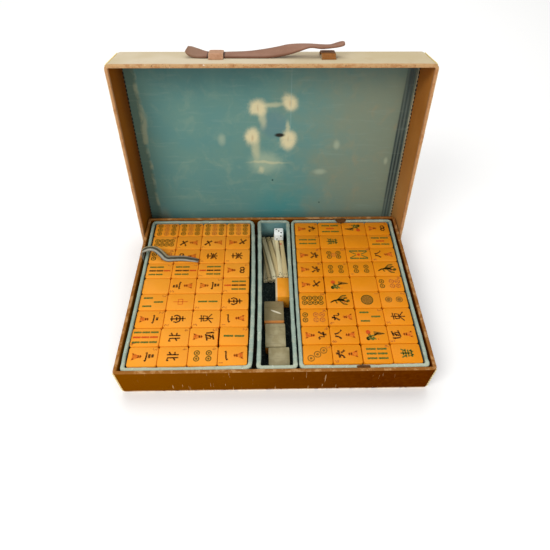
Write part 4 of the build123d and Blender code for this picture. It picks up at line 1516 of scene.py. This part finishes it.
def grey_colour(finish):
    x, y, z = finish.axes()
    top = TRAY_FLOOR + TILE.z
    cloud = finish.noise(9 * MM, 4, 0.6)
    lines = finish.noise(5 * MM, 4, 0.6, stretch=(0.2, 1.6, 1.0))
    edge = finish.noise(12 * MM, 2)
    grey = (z + (edge - 0.5) * 0.0012).ramp(top - 3.2 * MM, top - 2.6 * MM)
    glint_x, glint_y = x - GLINT_AT[0], y - GLINT_AT[1]
    glint_long = glint_x * (1 / (5.2 * MM)) + glint_y * (0.5 / (5.2 * MM))
    glint_wide = glint_y * (1 / (1.3 * MM)) + glint_x * (0.42 / (1.3 * MM))
    painted_glint = (glint_long * glint_long + glint_wide * glint_wide).ramp(1.0, 0.5)
    bare = y.ramp(-37.6 * MM, -38.8 * MM) * y.ramp(-42 * MM, -41.8 * MM)
    finish.layers(
        paint(226, 134, 30),
        (grey, finish.mix(cloud.ramp(0.35, 0.65), paint(156, 142, 104), paint(174, 162, 126))),
        (lines.ramp(0.56, 0.66) * grey * 0.4, paint(120, 108, 78)),
        (y.ramp(-44 * MM, -40 * MM) * grey * 0.6, paint(116, 98, 60)),
        (bare * grey * 0.8, paint(204, 122, 42)),
        # painted highlight: the pale glint
        (painted_glint * grey * 0.9, paint(232, 222, 196)),
    )
    finish.bump(lines * 0.6 + cloud * 0.4, 0.06 * MM, 0.5)


def spare_colour(finish):
    x = finish.axes()[0]
    cloud = finish.noise(9 * MM, 3)
    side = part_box("spare_tile")[0].x
    back = (x + (cloud - 0.5) * 0.0008).ramp(side + 2.4 * MM, side + 1.8 * MM)
    finish.layers(
        paint(244, 158, 40),
        (cloud.ramp(0.35, 0.7) * 0.5, paint(236, 142, 26)),
        (back, paint(206, 186, 150)),
    )
    finish.bump(cloud, 0.03 * MM, 0.3)


grey_colour(grey_resin)
spare_resin = Finish("spare_tile_resin", roughness=0.3, Specular_IOR_Level=0.14)
spare_colour(spare_resin)
print(grey_resin.material.name, len(grey_resin.tree.nodes), "nodes")

# %% Grey-backed tiles and the spare tile
QUARTER = math.pi / 2
GREY_SPOTS = ((4.31, -87.2), (0.89, -56.7), (-0.09, -26.2))
rows = [((x * MM, y * MM, TRAY_FLOOR), (0, 0, QUARTER), 0.5) for x, y in GREY_SPOTS]
grey_block = soft_block("grey_block", TILE - TILE_GAP, 0.7 * MM, upright=1.2 * MM)
dressing = "centre_tray", "grey_backed_resin", "grey_backed_tiles"
set_copies("grey_tiles", grey_block, grey_resin, rows, *dressing, looseness=0.006, seed=5)

low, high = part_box("spare_tile")
rows = [((low.x, (low.y + high.y) / 2, (low.z + high.z) / 2), (QUARTER, 0, QUARTER), 0.5)]
dressing = "centre_tray", "amber_resin", "spare_tile"
set_copies("spare_tile_on_side", tile_block, spare_resin, rows, *dressing)

# %% Bone
bone = Finish("bone", roughness=0.45)
RED_BLOT = (10.5 * MM, 84 * MM)


def bone_colour(finish):
    x, y, z = finish.axes()
    grain = finish.noise(3 * MM, 4, 0.65, stretch=(1.0, 0.12, 1.0))
    cloud = finish.noise(16 * MM, 3)
    tone = finish.attribute("tone")
    red_x, red_y = (x - RED_BLOT[0]) * (1 / (1.9 * MM)), (y - RED_BLOT[1]) * (1 / (1.9 * MM))
    red = (red_x * red_x + red_y * red_y + (cloud - 0.5) * 1.5).ramp(1.2, 0.6)
    finish.layers(
        paint(250, 238, 196),
        ((tone * 0.7 + cloud * 0.3).ramp(0.3, 0.85) * 0.7, paint(208, 174, 104)),
        (grain.ramp(0.58, 0.7) * 0.3, paint(196, 176, 130)),
        # painted shade: sticks on the left of the tray darker, away from the key light
        (x.ramp(5 * MM, -9 * MM) * 0.5, paint(150, 130, 84)),
        # painted shade: the lower layers of sticks darker, deeper in the tray
        (z.ramp(12 * MM, 6 * MM) * 0.3, paint(196, 180, 136)),
        (red * 0.7, paint(204, 76, 52)),
    )
    finish.set("Roughness", 0.4 + grain * 0.2)
    finish.bump(grain, 0.05 * MM, 0.4)


bone_colour(bone)
print(bone.material.name, len(bone.tree.nodes), "nodes")

# %% Fan the counting sticks: all numbers in mm until they become places
STICK_WIDE, STICK_LONG, STICK_THICK = 6.2, 74.0, 2.0
STICK_STRAIGHT = 67.8
STICK_GAP = 0.3
STICK_PITCH = STICK_WIDE + STICK_GAP
HALF_ROOM = 17.05
ROOM_MIDDLE, ROOM_BACK = 1.5, 103.1
# For each layer: how many sticks, share of the turn that there is room for, lean to the right and
# gap at the back.
STICK_LAYERS = (
    (4, 0.0, 0.4, 0.5), (4, 0.4, 0.4, 0.9), (4, 0.85, 0.4, 1.3),
    (3, 0.8, 0.4, 2.1), (3, 0.9, 0.5, 3.1), (2, 0.2, 1.0, 0.8),
)
STICK_DOTS = ((32.6, -1.3), (32.6, 1.3), (29.8, 0.0))
RED_END = (5, 1, 1)  # the layer, stick and end whose dots are red
stick_rows, dot_rows, red_rows = [], [], []
random.seed(4)
for layer, (count, share, lean, gap) in enumerate(STICK_LAYERS):
    turn = math.asin(share * (2 * HALF_ROOM - count * STICK_PITCH) / STICK_STRAIGHT)
    reach = STICK_STRAIGHT / 2 * math.sin(turn) + STICK_WIDE / 2
    step = STICK_PITCH / math.cos(turn)
    first = reach - HALF_ROOM + lean * (2 * (HALF_ROOM - reach) - (count - 1) * step)
    y, z = ROOM_BACK - gap - STICK_LONG / 2, TRAY_FLOOR / MM + STICK_THICK * layer
    for k in range(count):
        x = ROOM_MIDDLE + first + k * step
        turned = (0, 0, turn + random.uniform(-0.011, 0.011))
        stick_rows.append(((x * MM, y * MM, z * MM), turned, random.random()))
        for end in (-1, 1):
            rows = red_rows if (layer, k, end) == RED_END else dot_rows
            for along, sideways in STICK_DOTS[: 2 + (k + layer) % 2]:
                dot_x = x - math.sin(turn) * end * along + math.cos(turn) * sideways
                dot_y = y + math.cos(turn) * end * along + math.sin(turn) * sideways
                dot_z = z + STICK_THICK - 0.05
                rows.append(((dot_x * MM, dot_y * MM, dot_z * MM), (0, 0, 0), 0.0))

stick_size = Vector((STICK_WIDE - 1.0, STICK_LONG, STICK_THICK - 0.1)) * MM
stick_block = soft_block("stick_block", stick_size, 0.8 * MM)
dressing = "centre_tray", "bone", "tally_sticks"
set_copies("counting_sticks", stick_block, bone, stick_rows, *dressing)


# %% Dot the sticks
def flat_disc(name, radius, height, sides=10):
    points, faces = disc((0, 0), radius, sides)
    return solid(name, [(a, b, (up + 1) / 2 * height) for a, b, up in points], faces)


dot_ink = Finish("dot_ink", roughness=0.5)
faint = dot_ink.noise(1.5 * MM, 2)
dot_ink.set("Base Color", dot_ink.mix(faint, paint(20, 18, 16), paint(44, 38, 30)))
dot_disc = flat_disc("dot_disc", 0.62 * MM, 0.1 * MM)
red_paint = mark_paints[list(INKS).index("red")]
set_copies("stick_dots", dot_disc, dot_ink, dot_rows, "centre_tray", "bone")
set_copies("red_stick_dots", dot_disc, red_paint, red_rows, "centre_tray", "bone")

# %% The die and its pips
# The die's bone has a faint painted glow: an emission that brightens it in the tray's shade
die_bone = Finish("die_bone", roughness=0.35, Emission_Strength=0.1)
cloud = die_bone.noise(4 * MM, 3)
die_bone.layers(paint(252, 253, 251), (cloud.ramp(0.45, 0.7) * 0.25, paint(232, 232, 216)))
# colour of the painted glow
die_bone.set("Emission Color", paint(236, 252, 246))
die_bone.bump(cloud, 0.03 * MM, 0.3)
low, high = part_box("die")
middle = (low + high) / 2
die_block = soft_block("die_block", high - low, 1.3 * MM, 3)
rows = [((middle.x, middle.y, low.z), (0, 0, 0), 0.0)]
set_copies("bone_die", die_block, die_bone, rows, "centre_tray", "die_bone", "die")

PIPS = {
    3: ((-3, 3), (0, 0), (3, -3)),
    2: ((-2.4, -2.6), (2.6, 2.6)),
    5: ((-3, -3), (3, 3), (0, 0), (-3, 3), (3, -3)),
    1: ((0, 0),),
    4: ((-2.8, -2.8), (2.8, 2.8), (-2.8, 2.8), (2.8, -2.8)),
}
FACE_TURNS = {
    3: (0, 0, 0), 2: (QUARTER, 0, 0), 5: (-QUARTER, 0, 0), 1: (0, QUARTER, 0), 4: (0, -QUARTER, 0),
}
pip_height = (high.z - low.z) / 2 - 0.06 * MM
pip_rows = []
for number, pips in PIPS.items():
    for a, b in pips:
        spot = Vector((a * MM, b * MM, pip_height))
        spot.rotate(Euler(FACE_TURNS[number]))
        pip_rows.append((tuple(middle + spot), FACE_TURNS[number], 0.0))
pip_disc = flat_disc("pip_disc", 1.1 * MM, 0.1 * MM)
set_copies("die_pips", pip_disc, dot_ink, pip_rows, "centre_tray", "die_bone")

# %% [markdown]
# ## Straps, ribbon and tabs
#
# The handle, its two keepers, the pull ribbon and the leather tabs are all flat strips that bend
# and twist. One function carries a rounded section along a line of points. At each point it is
# told which way is across the strip and how wide the strip is there.


# %% Carry a flat section along a line
SECTION_TURNS = [2 * math.pi * (k + 0.5) / 16 for k in range(16)]
SECTION = [(squarer(math.cos(t), 0.35), squarer(math.sin(t), 0.8)) for t in SECTION_TURNS]


def strap(name, centres, acrosses, widths, thickness, section=SECTION):
    """A closed flat strip, with a map in metres along and across it."""
    centres = np.array(centres, float)
    ways = unit(np.gradient(centres, axis=0))
    acrosses = np.array(acrosses, float)
    acrosses = unit(acrosses - (acrosses * ways).sum(1, keepdims=True) * ways)
    normals = np.cross(ways, acrosses)
    lengths = np.r_[0, np.cumsum(np.linalg.norm(np.diff(centres, axis=0), axis=1))]
    thickness = np.broadcast_to(thickness, len(centres))
    points, uv = [], []
    for centre, across, normal, width, thick, length in zip(
        centres, acrosses, normals, widths, thickness, lengths
    ):
        for s, t in section:
            points.append(centre + across * s * width / 2 + normal * t * thick / 2)
            uv.append((length, s * width / 2))
    rows, columns = len(centres), len(section)
    faces = grid(rows, columns, True)
    faces += [tuple(range(columns)), tuple((rows - 1) * columns + j for j in range(columns))]
    return solid(name, points, faces, uv, sharp=50)


def smooth_line(knots, count):
    """Points along a smooth line through knots, each a row of any length."""
    knots = np.array(knots, float)
    steps = np.linalg.norm(np.diff(knots[:, :2], axis=0), axis=1)
    at = np.r_[0, np.cumsum(np.sqrt(steps))]
    slopes = np.gradient(knots, at, axis=0)
    line = []
    for t in np.linspace(0, at[-1], count):
        k = min(int(np.searchsorted(at, t, side="right")) - 1, len(at) - 2)
        gap = at[k + 1] - at[k]
        s = (t - at[k]) / gap
        a, b = 2 * s**3 - 3 * s**2 + 1, s**3 - 2 * s**2 + s
        c, d = -2 * s**3 + 3 * s**2, s**3 - s**2
        line.append(a * knots[k] + b * gap * slopes[k] + c * knots[k + 1] + d * gap * slopes[k + 1])
    return np.array(line)


print("a strap's section has", len(SECTION), "points")

# %% The leather handle
strap_leather = Finish("strap_leather", roughness=0.45, Specular_IOR_Level=0.25)


def strap_colour(finish):
    u, v, _ = finish.axes(finish.uv())
    fine = finish.noise(3 * MM, 5, 0.7)
    wide = finish.noise(20 * MM, 3)
    # edge: darker strap edges, partly the leather's dark cut edges, partly painted shade on the
    # rounded edges
    edge = v.abs().ramp(5.4 * MM, 7.6 * MM)
    end = (u - 100 * MM).abs().ramp(76 * MM, 92 * MM)
    # Painted shadow: dark lines across the strap where the left keeper's edges cross it
    painted_keeper_shadow = ((u - 30.9 * MM).abs() - 8.3 * MM).abs().ramp(1.3 * MM, 0.4 * MM)
    finish.layers(
        paint(142, 102, 80),
        (wide.ramp(0.4, 0.65) * 0.6, paint(122, 80, 56)),
        (fine.ramp(0.55, 0.72) * 0.4, paint(168, 126, 100)),
        # dark cut edges with painted shade
        (edge * 0.7, paint(98, 60, 40)),
        (end * 0.5, paint(130, 100, 76)),
        # painted shadow of the keeper's edges
        (painted_keeper_shadow * 0.8, paint(44, 26, 16)),
    )
    finish.set("Roughness", 0.4 + fine * 0.25)
    leather_grain(finish, 0.1 * MM, 0.8 * MM)


strap_colour(strap_leather)
STRAP_MIDDLE = LID_RIM + 30 * MM
# x, distance from the lid, shift towards the panel, twist in degrees, width; all in mm
STRAP_KNOTS = (
    (-87, 7.2, 1.0, -26, 9.0),
    (-84.5, 5.6, 0.9, -25, 13.5),
    (-78, 3.4, 0.5, -20, 15.8),
    (-67, 1.8, 0.0, -6, 16.0),
    (-57, 1.6, 0.0, -2, 16.0),
    (-44, 1.7, 0.0, -4, 16.0),
    (-24, 1.9, 0.0, -8, 16.0),
    (-6, 3.0, 0.0, -17, 16.0),
    (6, 4.6, 0.0, -22, 15.5),
    (17, 6.7, 0.0, -24, 15.0),
    (28, 8.6, 0.0, -15, 13.5),
    (38.5, 10.0, 0.0, 0, 12.5),
    (50, 9.2, 0.0, -2, 12.0),
    (60, 9.6, 0.0, 2, 11.5),
    (67, 11.0, 0.0, -6, 11.0),
    (71.5, 12.0, 0.0, -8, 9.5),
    (73.4, 12.2, 0.0, -8, 5.0),
)
knots = smooth_line(STRAP_KNOTS, 90)
centres = [(x * MM, -LID_FRONT - n * MM, STRAP_MIDDLE + up * MM) for x, n, up, _, _ in knots]
twists = [math.radians(twist) for twist in knots[:, 3]]
acrosses = swing([(0, math.sin(t), math.cos(t)) for t in twists]) - swing([(0, 0, 0)])
handle = strap("leather_handle", swing(centres), acrosses, knots[:, 4] * MM, 2.6 * MM)
dress(handle, "handle", "strap_leather", strap_leather, "handle_strap")
print("handle", len(handle.data.polygons), "faces")

# %% Leather of the keepers and tabs
keeper_leather = Finish("keeper_leather", roughness=0.5, Specular_IOR_Level=0.2)
tab_leather = Finish("tab_leather", roughness=0.5, Specular_IOR_Level=0.15)


def keeper_colour(finish, pale, dark, worn):
    v = finish.axes(finish.uv())[1]
    fine = finish.noise(3 * MM, 5, 0.7)
    edge = v.abs().ramp(5.8 * MM, 7.3 * MM)
    finish.layers(
        paint(*pale),
        (fine.ramp(0.4, 0.65) * 0.6, paint(*dark)),
        (edge * fine.ramp(0.4, 0.6) * 0.7, paint(*worn)),
    )
    leather_grain(finish, 0.08 * MM, 0.7 * MM)


keeper_colour(keeper_leather, (182, 138, 106), (158, 112, 78), (204, 166, 132))
dark_keeper = Finish("dark_keeper_leather", roughness=0.5, Specular_IOR_Level=0.15)
keeper_colour(dark_keeper, (150, 96, 44), (112, 72, 34), (150, 124, 84))
keeper_colour(tab_leather, (96, 60, 26), (66, 40, 12), (126, 88, 48))
print(keeper_leather.material.name, len(keeper_leather.tree.nodes), "nodes")

# %% Arch the keepers over the strap
KEEPERS = (("left", -57, 3.4, keeper_leather), ("right", 57, 3.1, dark_keeper))
KEEPER_WIDE = 15 * MM


def keeper_knots(tall):
    """Half a keeper's line from its foot to its top: place along it and distance from the lid."""
    foot = [(12.8, 0.75), (10.8, 0.72), (9.2, 0.8), (8.4, tall * 0.5)]
    return foot + [(7.4, tall + 0.5), (4, tall + 0.75)]


for side, x, tall, finish in KEEPERS:
    half = keeper_knots(tall)
    line = smooth_line([(-s, n) for s, n in half] + [(0, tall + 0.8)] + half[::-1], 48)
    centres = [(x * MM, -LID_FRONT - n * MM, STRAP_MIDDLE + s * MM) for s, n in line]
    across = [(1, 0, 0)] * len(centres)
    widths = [KEEPER_WIDE + 0.3 * MM * ripple(s, 0, x, 4, 3.0) for s, n in line]
    keeper = strap(f"{side}_keeper", swing(centres), across, widths, 1.4 * MM)
    dress(keeper, "lid", "keeper_leather", finish, f"handle_keeper_{side}")
    print(side, "keeper", len(keeper.data.polygons), "faces")

# %% Bend the right tray's tabs
TAB_X = 88 * MM
TAB_WIDE, TAB_THICK = 14 * MM, 0.8 * MM
TAB_ROUND_FROM, TAB_ROUND = 103.4, 4.1
# The front tab passes under the slumped roll and down in front of the tiles. The back one goes over
# the roll and ends round on the tiles.
FRONT_TAB = (
    (106.75, 28.2), (106.7, 32), (106.4, 35.4), (104.8, 36.6), (102.9, 35.8), (102.6, 31),
    (102.6, 29),
)
BACK_TAB = ((106.75, 28.2), (106.75, 34), (106.75, 38.6), (106.1, 40.5), (104, 41.0), (99.4, 39.6))
tabs = []
for way, knots in ((-1, FRONT_TAB), (1, BACK_TAB)):
    line = smooth_line(knots, 32)
    centres = [(TAB_X, way * y * MM, z * MM) for y, z in line]
    widths = [TAB_WIDE] * len(line)
    if way > 0:
        past = [max(0, TAB_ROUND_FROM - y) / TAB_ROUND for y, z in line]
        widths = [TAB_WIDE * math.sqrt(max(0.03, 1 - share**2)) for share in past]
    tabs.append(strap(f"tab_{way}", centres, [(1, 0, 0)] * len(centres), widths, TAB_THICK))
join = {"active_object": tabs[0], "selected_editable_objects": tabs}
with bpy.context.temp_override(**join):
    bpy.ops.object.join()
right_tabs = tabs[0]
right_tabs.name = "right_tabs"
dress(right_tabs, "right_tray", "tab_leather", tab_leather, "right_tray_tabs")
print("tabs", len(right_tabs.data.polygons), "faces")

# %% [markdown]
# ## The pull ribbon
#
# A limp tape is tucked down beside the left tray. It arches over the rim, lies across the tiles and
# ends in a worn tip. It is a loop pressed flat, so it looks like two tapes side by side with a
# groove between them, darkened by a painted line of shade. Its line is a smooth spline through a
# few points, and the strip follows it.

# %% Cloth of the ribbon
ribbon_cloth = Finish("ribbon_cloth", roughness=0.85)


def ribbon_colour(finish):
    u, v, _ = finish.axes(finish.uv())
    fine = finish.noise(1.6 * MM, 4, 0.7)
    wide = finish.noise(12 * MM, 3)
    v = v + (wide - 0.5) * (2.4 * MM)
    # fold: painted shade, a dark line in the groove between the two strands
    fold = (v - 0.6 * MM).abs().ramp(1.6 * MM, 0.7 * MM)
    back = v.ramp(0.2 * MM, 0.9 * MM)
    tail = u.ramp(46 * MM, 58 * MM)
    tip = u.ramp(82 * MM, 90 * MM)
    finish.layers(
        paint(152, 152, 140),
        (back, paint(150, 138, 104)),
        (tail * 0.8, paint(124, 114, 98)),
        (wide.ramp(0.4, 0.65) * 0.4, paint(96, 90, 70)),
        # painted shade on the ribbon's two rounded outer edges
        (v.ramp(3.0 * MM, 3.9 * MM) * 0.7, paint(92, 80, 54)),
        (v.ramp(-2.8 * MM, -3.9 * MM) * 0.7, paint(78, 68, 50)),
        # painted highlight along the crown of the front strand
        ((v + 1.9 * MM).abs().ramp(1.0 * MM, 0.3 * MM) * 0.45, paint(186, 184, 168)),
        # painted shade in the groove
        (fold * 0.9, paint(40, 40, 24)),
        (tip * 0.75, paint(66, 46, 28)),
        (fine.ramp(0.6, 0.75) * 0.3, paint(176, 172, 146)),
    )
    weave = (u * (2 * math.pi / (0.8 * MM))).sine() * 0.5 + 0.5
    finish.bump(weave * 0.4 + fine * 0.6, 0.1 * MM, 0.6)


ribbon_colour(ribbon_cloth)
print(ribbon_cloth.material.name, len(ribbon_cloth.tree.nodes), "nodes")

# %% Lay the ribbon's line
RIBBON_START = Vector((-155.2, 44.0, 0.0)) * MM
RIBBON_TURN = Matrix.Rotation(math.radians(-5), 4, "Z")
RIBBON_ROUTE = (
    (0, 30, 0), (0, 41, 0.2), (-0.8, 46.6, 2.4), (6, 47.4, 6.6), (15, 47.2, 6.4), (23, 43.6, 1.4),
    (28.5, 40.2, -2.6), (38, 40.6, -1.2), (52, 40.2, 0.4), (67, 39.8, -2.2),
)  # mm: along, height, sideways
route = bpy.data.curves.new("ribbon_route", "CURVE")
route.dimensions = "3D"
spline = route.splines.new("NURBS")
spline.points.add(len(RIBBON_ROUTE) - 1)
for point, (along, z, sideways) in zip(spline.points, RIBBON_ROUTE):
    place = RIBBON_START + RIBBON_TURN @ Vector((along * MM, sideways * MM, z * MM))
    point.co = (*place, 1.0)
spline.order_u = 3
spline.use_endpoint_u = True
spline.resolution_u = 8
route_object = add_object("ribbon_route", route)
line = bpy.data.meshes.new_from_object(route_object)
path = [tuple(vertex.co) for vertex in line.vertices]
bpy.data.objects.remove(route_object)

# %% Carry the ribbon along its line
flat_across = RIBBON_TURN @ Vector((0, 1, 0))
shares = [k / len(path) for k in range(len(path))]
raised = [grown(z, 36, 8) for x, y, z in path]
past = [grown(x - path[0][0], 14, 12) for x, y, z in path]
widths, tilts = [], []
for share, up, on in zip(shares, raised, past):
    widths.append((7.6 + 0.9 * math.cos(share * 11.0) - 32 * max(0.0, share - 0.9)) * MM)
    tilts.append(0.12 * up + 0.3 * on + 0.08 * math.sin(share * 9.0) * on)
across = [tuple(Matrix.Rotation(tilt, 3, "X") @ flat_across) for tilt in tilts]
thick = np.array([0.8 + 0.9 * max(up, on) for up, on in zip(raised, past)]) * MM
UPPER = [
    (1, 0.2), (0.95, 0.75), (0.72, 1), (0.4, 0.8), (0.12, 0.1), (-0.16, 0.8), (-0.56, 1),
    (-0.92, 0.75), (-1, 0.2),
]
pressed_loop = UPPER + [(s, -t) for s, t in reversed(UPPER)]
ribbon = strap("pull_ribbon", path, across, widths, thick, pressed_loop)
dress(ribbon, "left_tray", "ribbon", ribbon_cloth, "left_tray_ribbon")
print("ribbon", len(ribbon.data.polygons), "faces")

# %% [markdown]
# ## Stitches
#
# The leather is sewn with waxed thread. A running stitch is a row of short dashes along a line, so
# a second tree walks a line in even steps and lays a thin bead of thread along it at each one. The
# corners are closed with whip stitches across the edge, which the first tree can set out.

# %% A tree that sews along lines
running_stitch = Growth(
    "running_stitch", Finish="Material", Spacing="Float", Length="Float", Thread="Float", Seed="Int"
)
seam = running_stitch.node("GeometryNodeMeshToCurve", None, (running_stitch["Places"],))
sockets = {"Curve": seam, "Length": running_stitch["Spacing"]}
stations = running_stitch.node("GeometryNodeCurveToPoints", {"mode": "LENGTH"}, sockets)
sockets = {"Segments": 6, "Rings": 5, "Radius": 0.5}
bead = running_stitch.node("GeometryNodeMeshUVSphere", None, sockets)
thread = running_stitch["Thread"]
sockets = (thread, thread, running_stitch["Length"])
size = running_stitch.node("ShaderNodeCombineXYZ", None, sockets)
sockets = {2: 0.8, 3: 1.15, "Seed": running_stitch["Seed"]}
uneven = running_stitch.node("FunctionNodeRandomValue", {"data_type": "FLOAT"}, sockets, output=1)
sockets = {0: size, "Scale": uneven}
size = running_stitch.node("ShaderNodeVectorMath", {"operation": "SCALE"}, sockets)
sockets = {"Points": stations, "Instance": bead, "Scale": size}
sockets["Rotation"] = stations.output("Rotation")
running_stitch.end(running_stitch.node("GeometryNodeInstanceOnPoints", None, sockets))


def seams(lines):
    """A mesh of separate lines, each two points or more."""
    mesh = bpy.data.meshes.new("seams")
    points, edges = [], []
    for line in lines:
        edges += [(len(points) + k, len(points) + k + 1) for k in range(len(line) - 1)]
        points += [tuple(point) for point in line]
    mesh.from_pydata(points, edges, [])
    return mesh


print("running_stitch has", len(running_stitch.tree.nodes), "nodes")


# %% Sew the lid's seam
def thread_finish(name, colour):
    finish = Finish(name, roughness=0.7)
    fine = finish.noise(0.8 * MM, 2)
    dark = paint(*[part * 0.6 for part in colour])
    finish.layers(paint(*colour), (fine.ramp(0.4, 0.7) * 0.5, dark))
    finish.bump(fine, 0.05 * MM, 0.5)
    return finish


dark_thread = thread_finish("dark_thread", (30, 18, 10))
pale_thread = thread_finish("pale_thread", (244, 222, 152))
SEAM_X = LID_HALF_W - WALL - 0.15 * MM
SEAM_Z = LID_UNDER - 1.9 * MM
SEAM_FRONT, SEAM_BACK = -109 * MM, 106 * MM
lines = [swing([(x, SEAM_FRONT, SEAM_Z), (x, SEAM_BACK, SEAM_Z)]) for x in (-SEAM_X, SEAM_X)]
values = {"Spacing": 4.4 * MM, "Length": 3.1 * MM, "Thread": 2.1 * MM, "Seed": 1}
lid_seam = running_stitch.grow("lid_seam", seams(lines), Finish=dark_thread.material, **values)
dress(lid_seam, "lid", "inner_leather", None)
print("lid seam", len(lid_seam.data.polygons), "faces")


# %% Whip the corners
def whip_rows(x, y, heights, radius, tilt, opened):
    """Stitches across an upright corner, x and y being where the corner would be sharp."""
    rows = []
    inwards = radius * (1 - math.sqrt(0.5)) - 0.25 * MM
    for z in heights:
        place = (x - math.copysign(inwards, x), y - math.copysign(inwards, y), z * MM)
        turn = Euler((0, tilt, math.radians(-45 if x * y > 0 else 45)))
        if opened:
            place = tuple(swing([place])[0])
            turn = (Matrix.Rotation(-OPEN, 3, "X") @ turn.to_matrix()).to_euler()
        rows.append((place, tuple(turn), 0.0))
    return rows


base_rows, lid_rows = [], []
for x in (-HALF_W, HALF_W):
    for y in (-HALF_D, HALF_D):
        base_rows += whip_rows(x, y, np.arange(4, 38, 4.6), 4.0 * MM, 0.35, False)
for x in (-LID_HALF_W, LID_HALF_W):
    lid_rows += whip_rows(x, -LID_FRONT, np.arange(6, 50, 4.4), 5.0 * MM, -0.35, True)
for body, rows, slot in (("base", base_rows, "brown_leather"), ("lid", lid_rows, "faded_leather")):
    name = f"{body}_corner_stitches"
    set_copies(name, stitch_block, pale_thread, rows, body, slot, looseness=0.05, seed=12)

# %% [markdown]
# ## Parts kept from the frame
#
# Boards, base paper and rivets keep the frame's own shapes, which are right as they are. They only
# need finishes: fibrous board, a blotted lining paper, and brass that has dulled.

# %% Finish the boards, paper and rivets
pasteboard = Finish("pasteboard", roughness=0.95)
fibres = pasteboard.noise(4 * MM, 5, 0.7, stretch=(0.2, 1.0, 1.0))
pasteboard.layers(paint(150, 128, 96), (fibres.ramp(0.4, 0.7) * 0.6, paint(118, 96, 66)))
pasteboard.bump(fibres, 0.1 * MM, 0.5)

base_paper = Finish("base_paper", roughness=0.9)
blots = base_paper.noise(12 * MM, 4, 0.6)
base_paper.layers(paint(74, 60, 42), (blots.ramp(0.4, 0.7) * 0.6, paint(52, 40, 26)))
base_paper.bump(blots, 0.05 * MM, 0.4)

brass = Finish("rivet_brass", roughness=0.35, Metallic=1.0)
tarnish = brass.noise(2 * MM, 4, 0.65)
brass.layers(paint(196, 154, 84), (tarnish.ramp(0.45, 0.7) * 0.7, paint(110, 78, 40)))
brass.set("Roughness", 0.3 + tarnish * 0.3)
brass.bump(tarnish, 0.04 * MM, 0.4)

kept = {"pasteboard": pasteboard, "base_paper": base_paper, "rivet_brass": brass}
for node in frame["nodes"].values():
    for index, material in enumerate(node.data.materials):
        slot = material.name.split(".")[0]
        if slot in kept:
            node.data.materials[index] = kept[slot].material
print("finishes for the frame's own shapes", list(kept))

# %% Put away the shapes that were copied
for shape in (tile_block, grey_block, stick_block, die_block, dot_disc, pip_disc, stitch_block):
    bpy.data.objects.remove(shape)

# %% Lay the floor and finish
floor_mesh = bpy.data.meshes.new("floor")
floor_mesh.from_pydata([(-3, -3, 0), (3, -3, 0), (3, 3, 0), (-3, 3, 0)], [], [(0, 1, 2, 3)])
floor = add_object("floor", floor_mesh)
floor_mesh.materials.append(stage_finish.material)
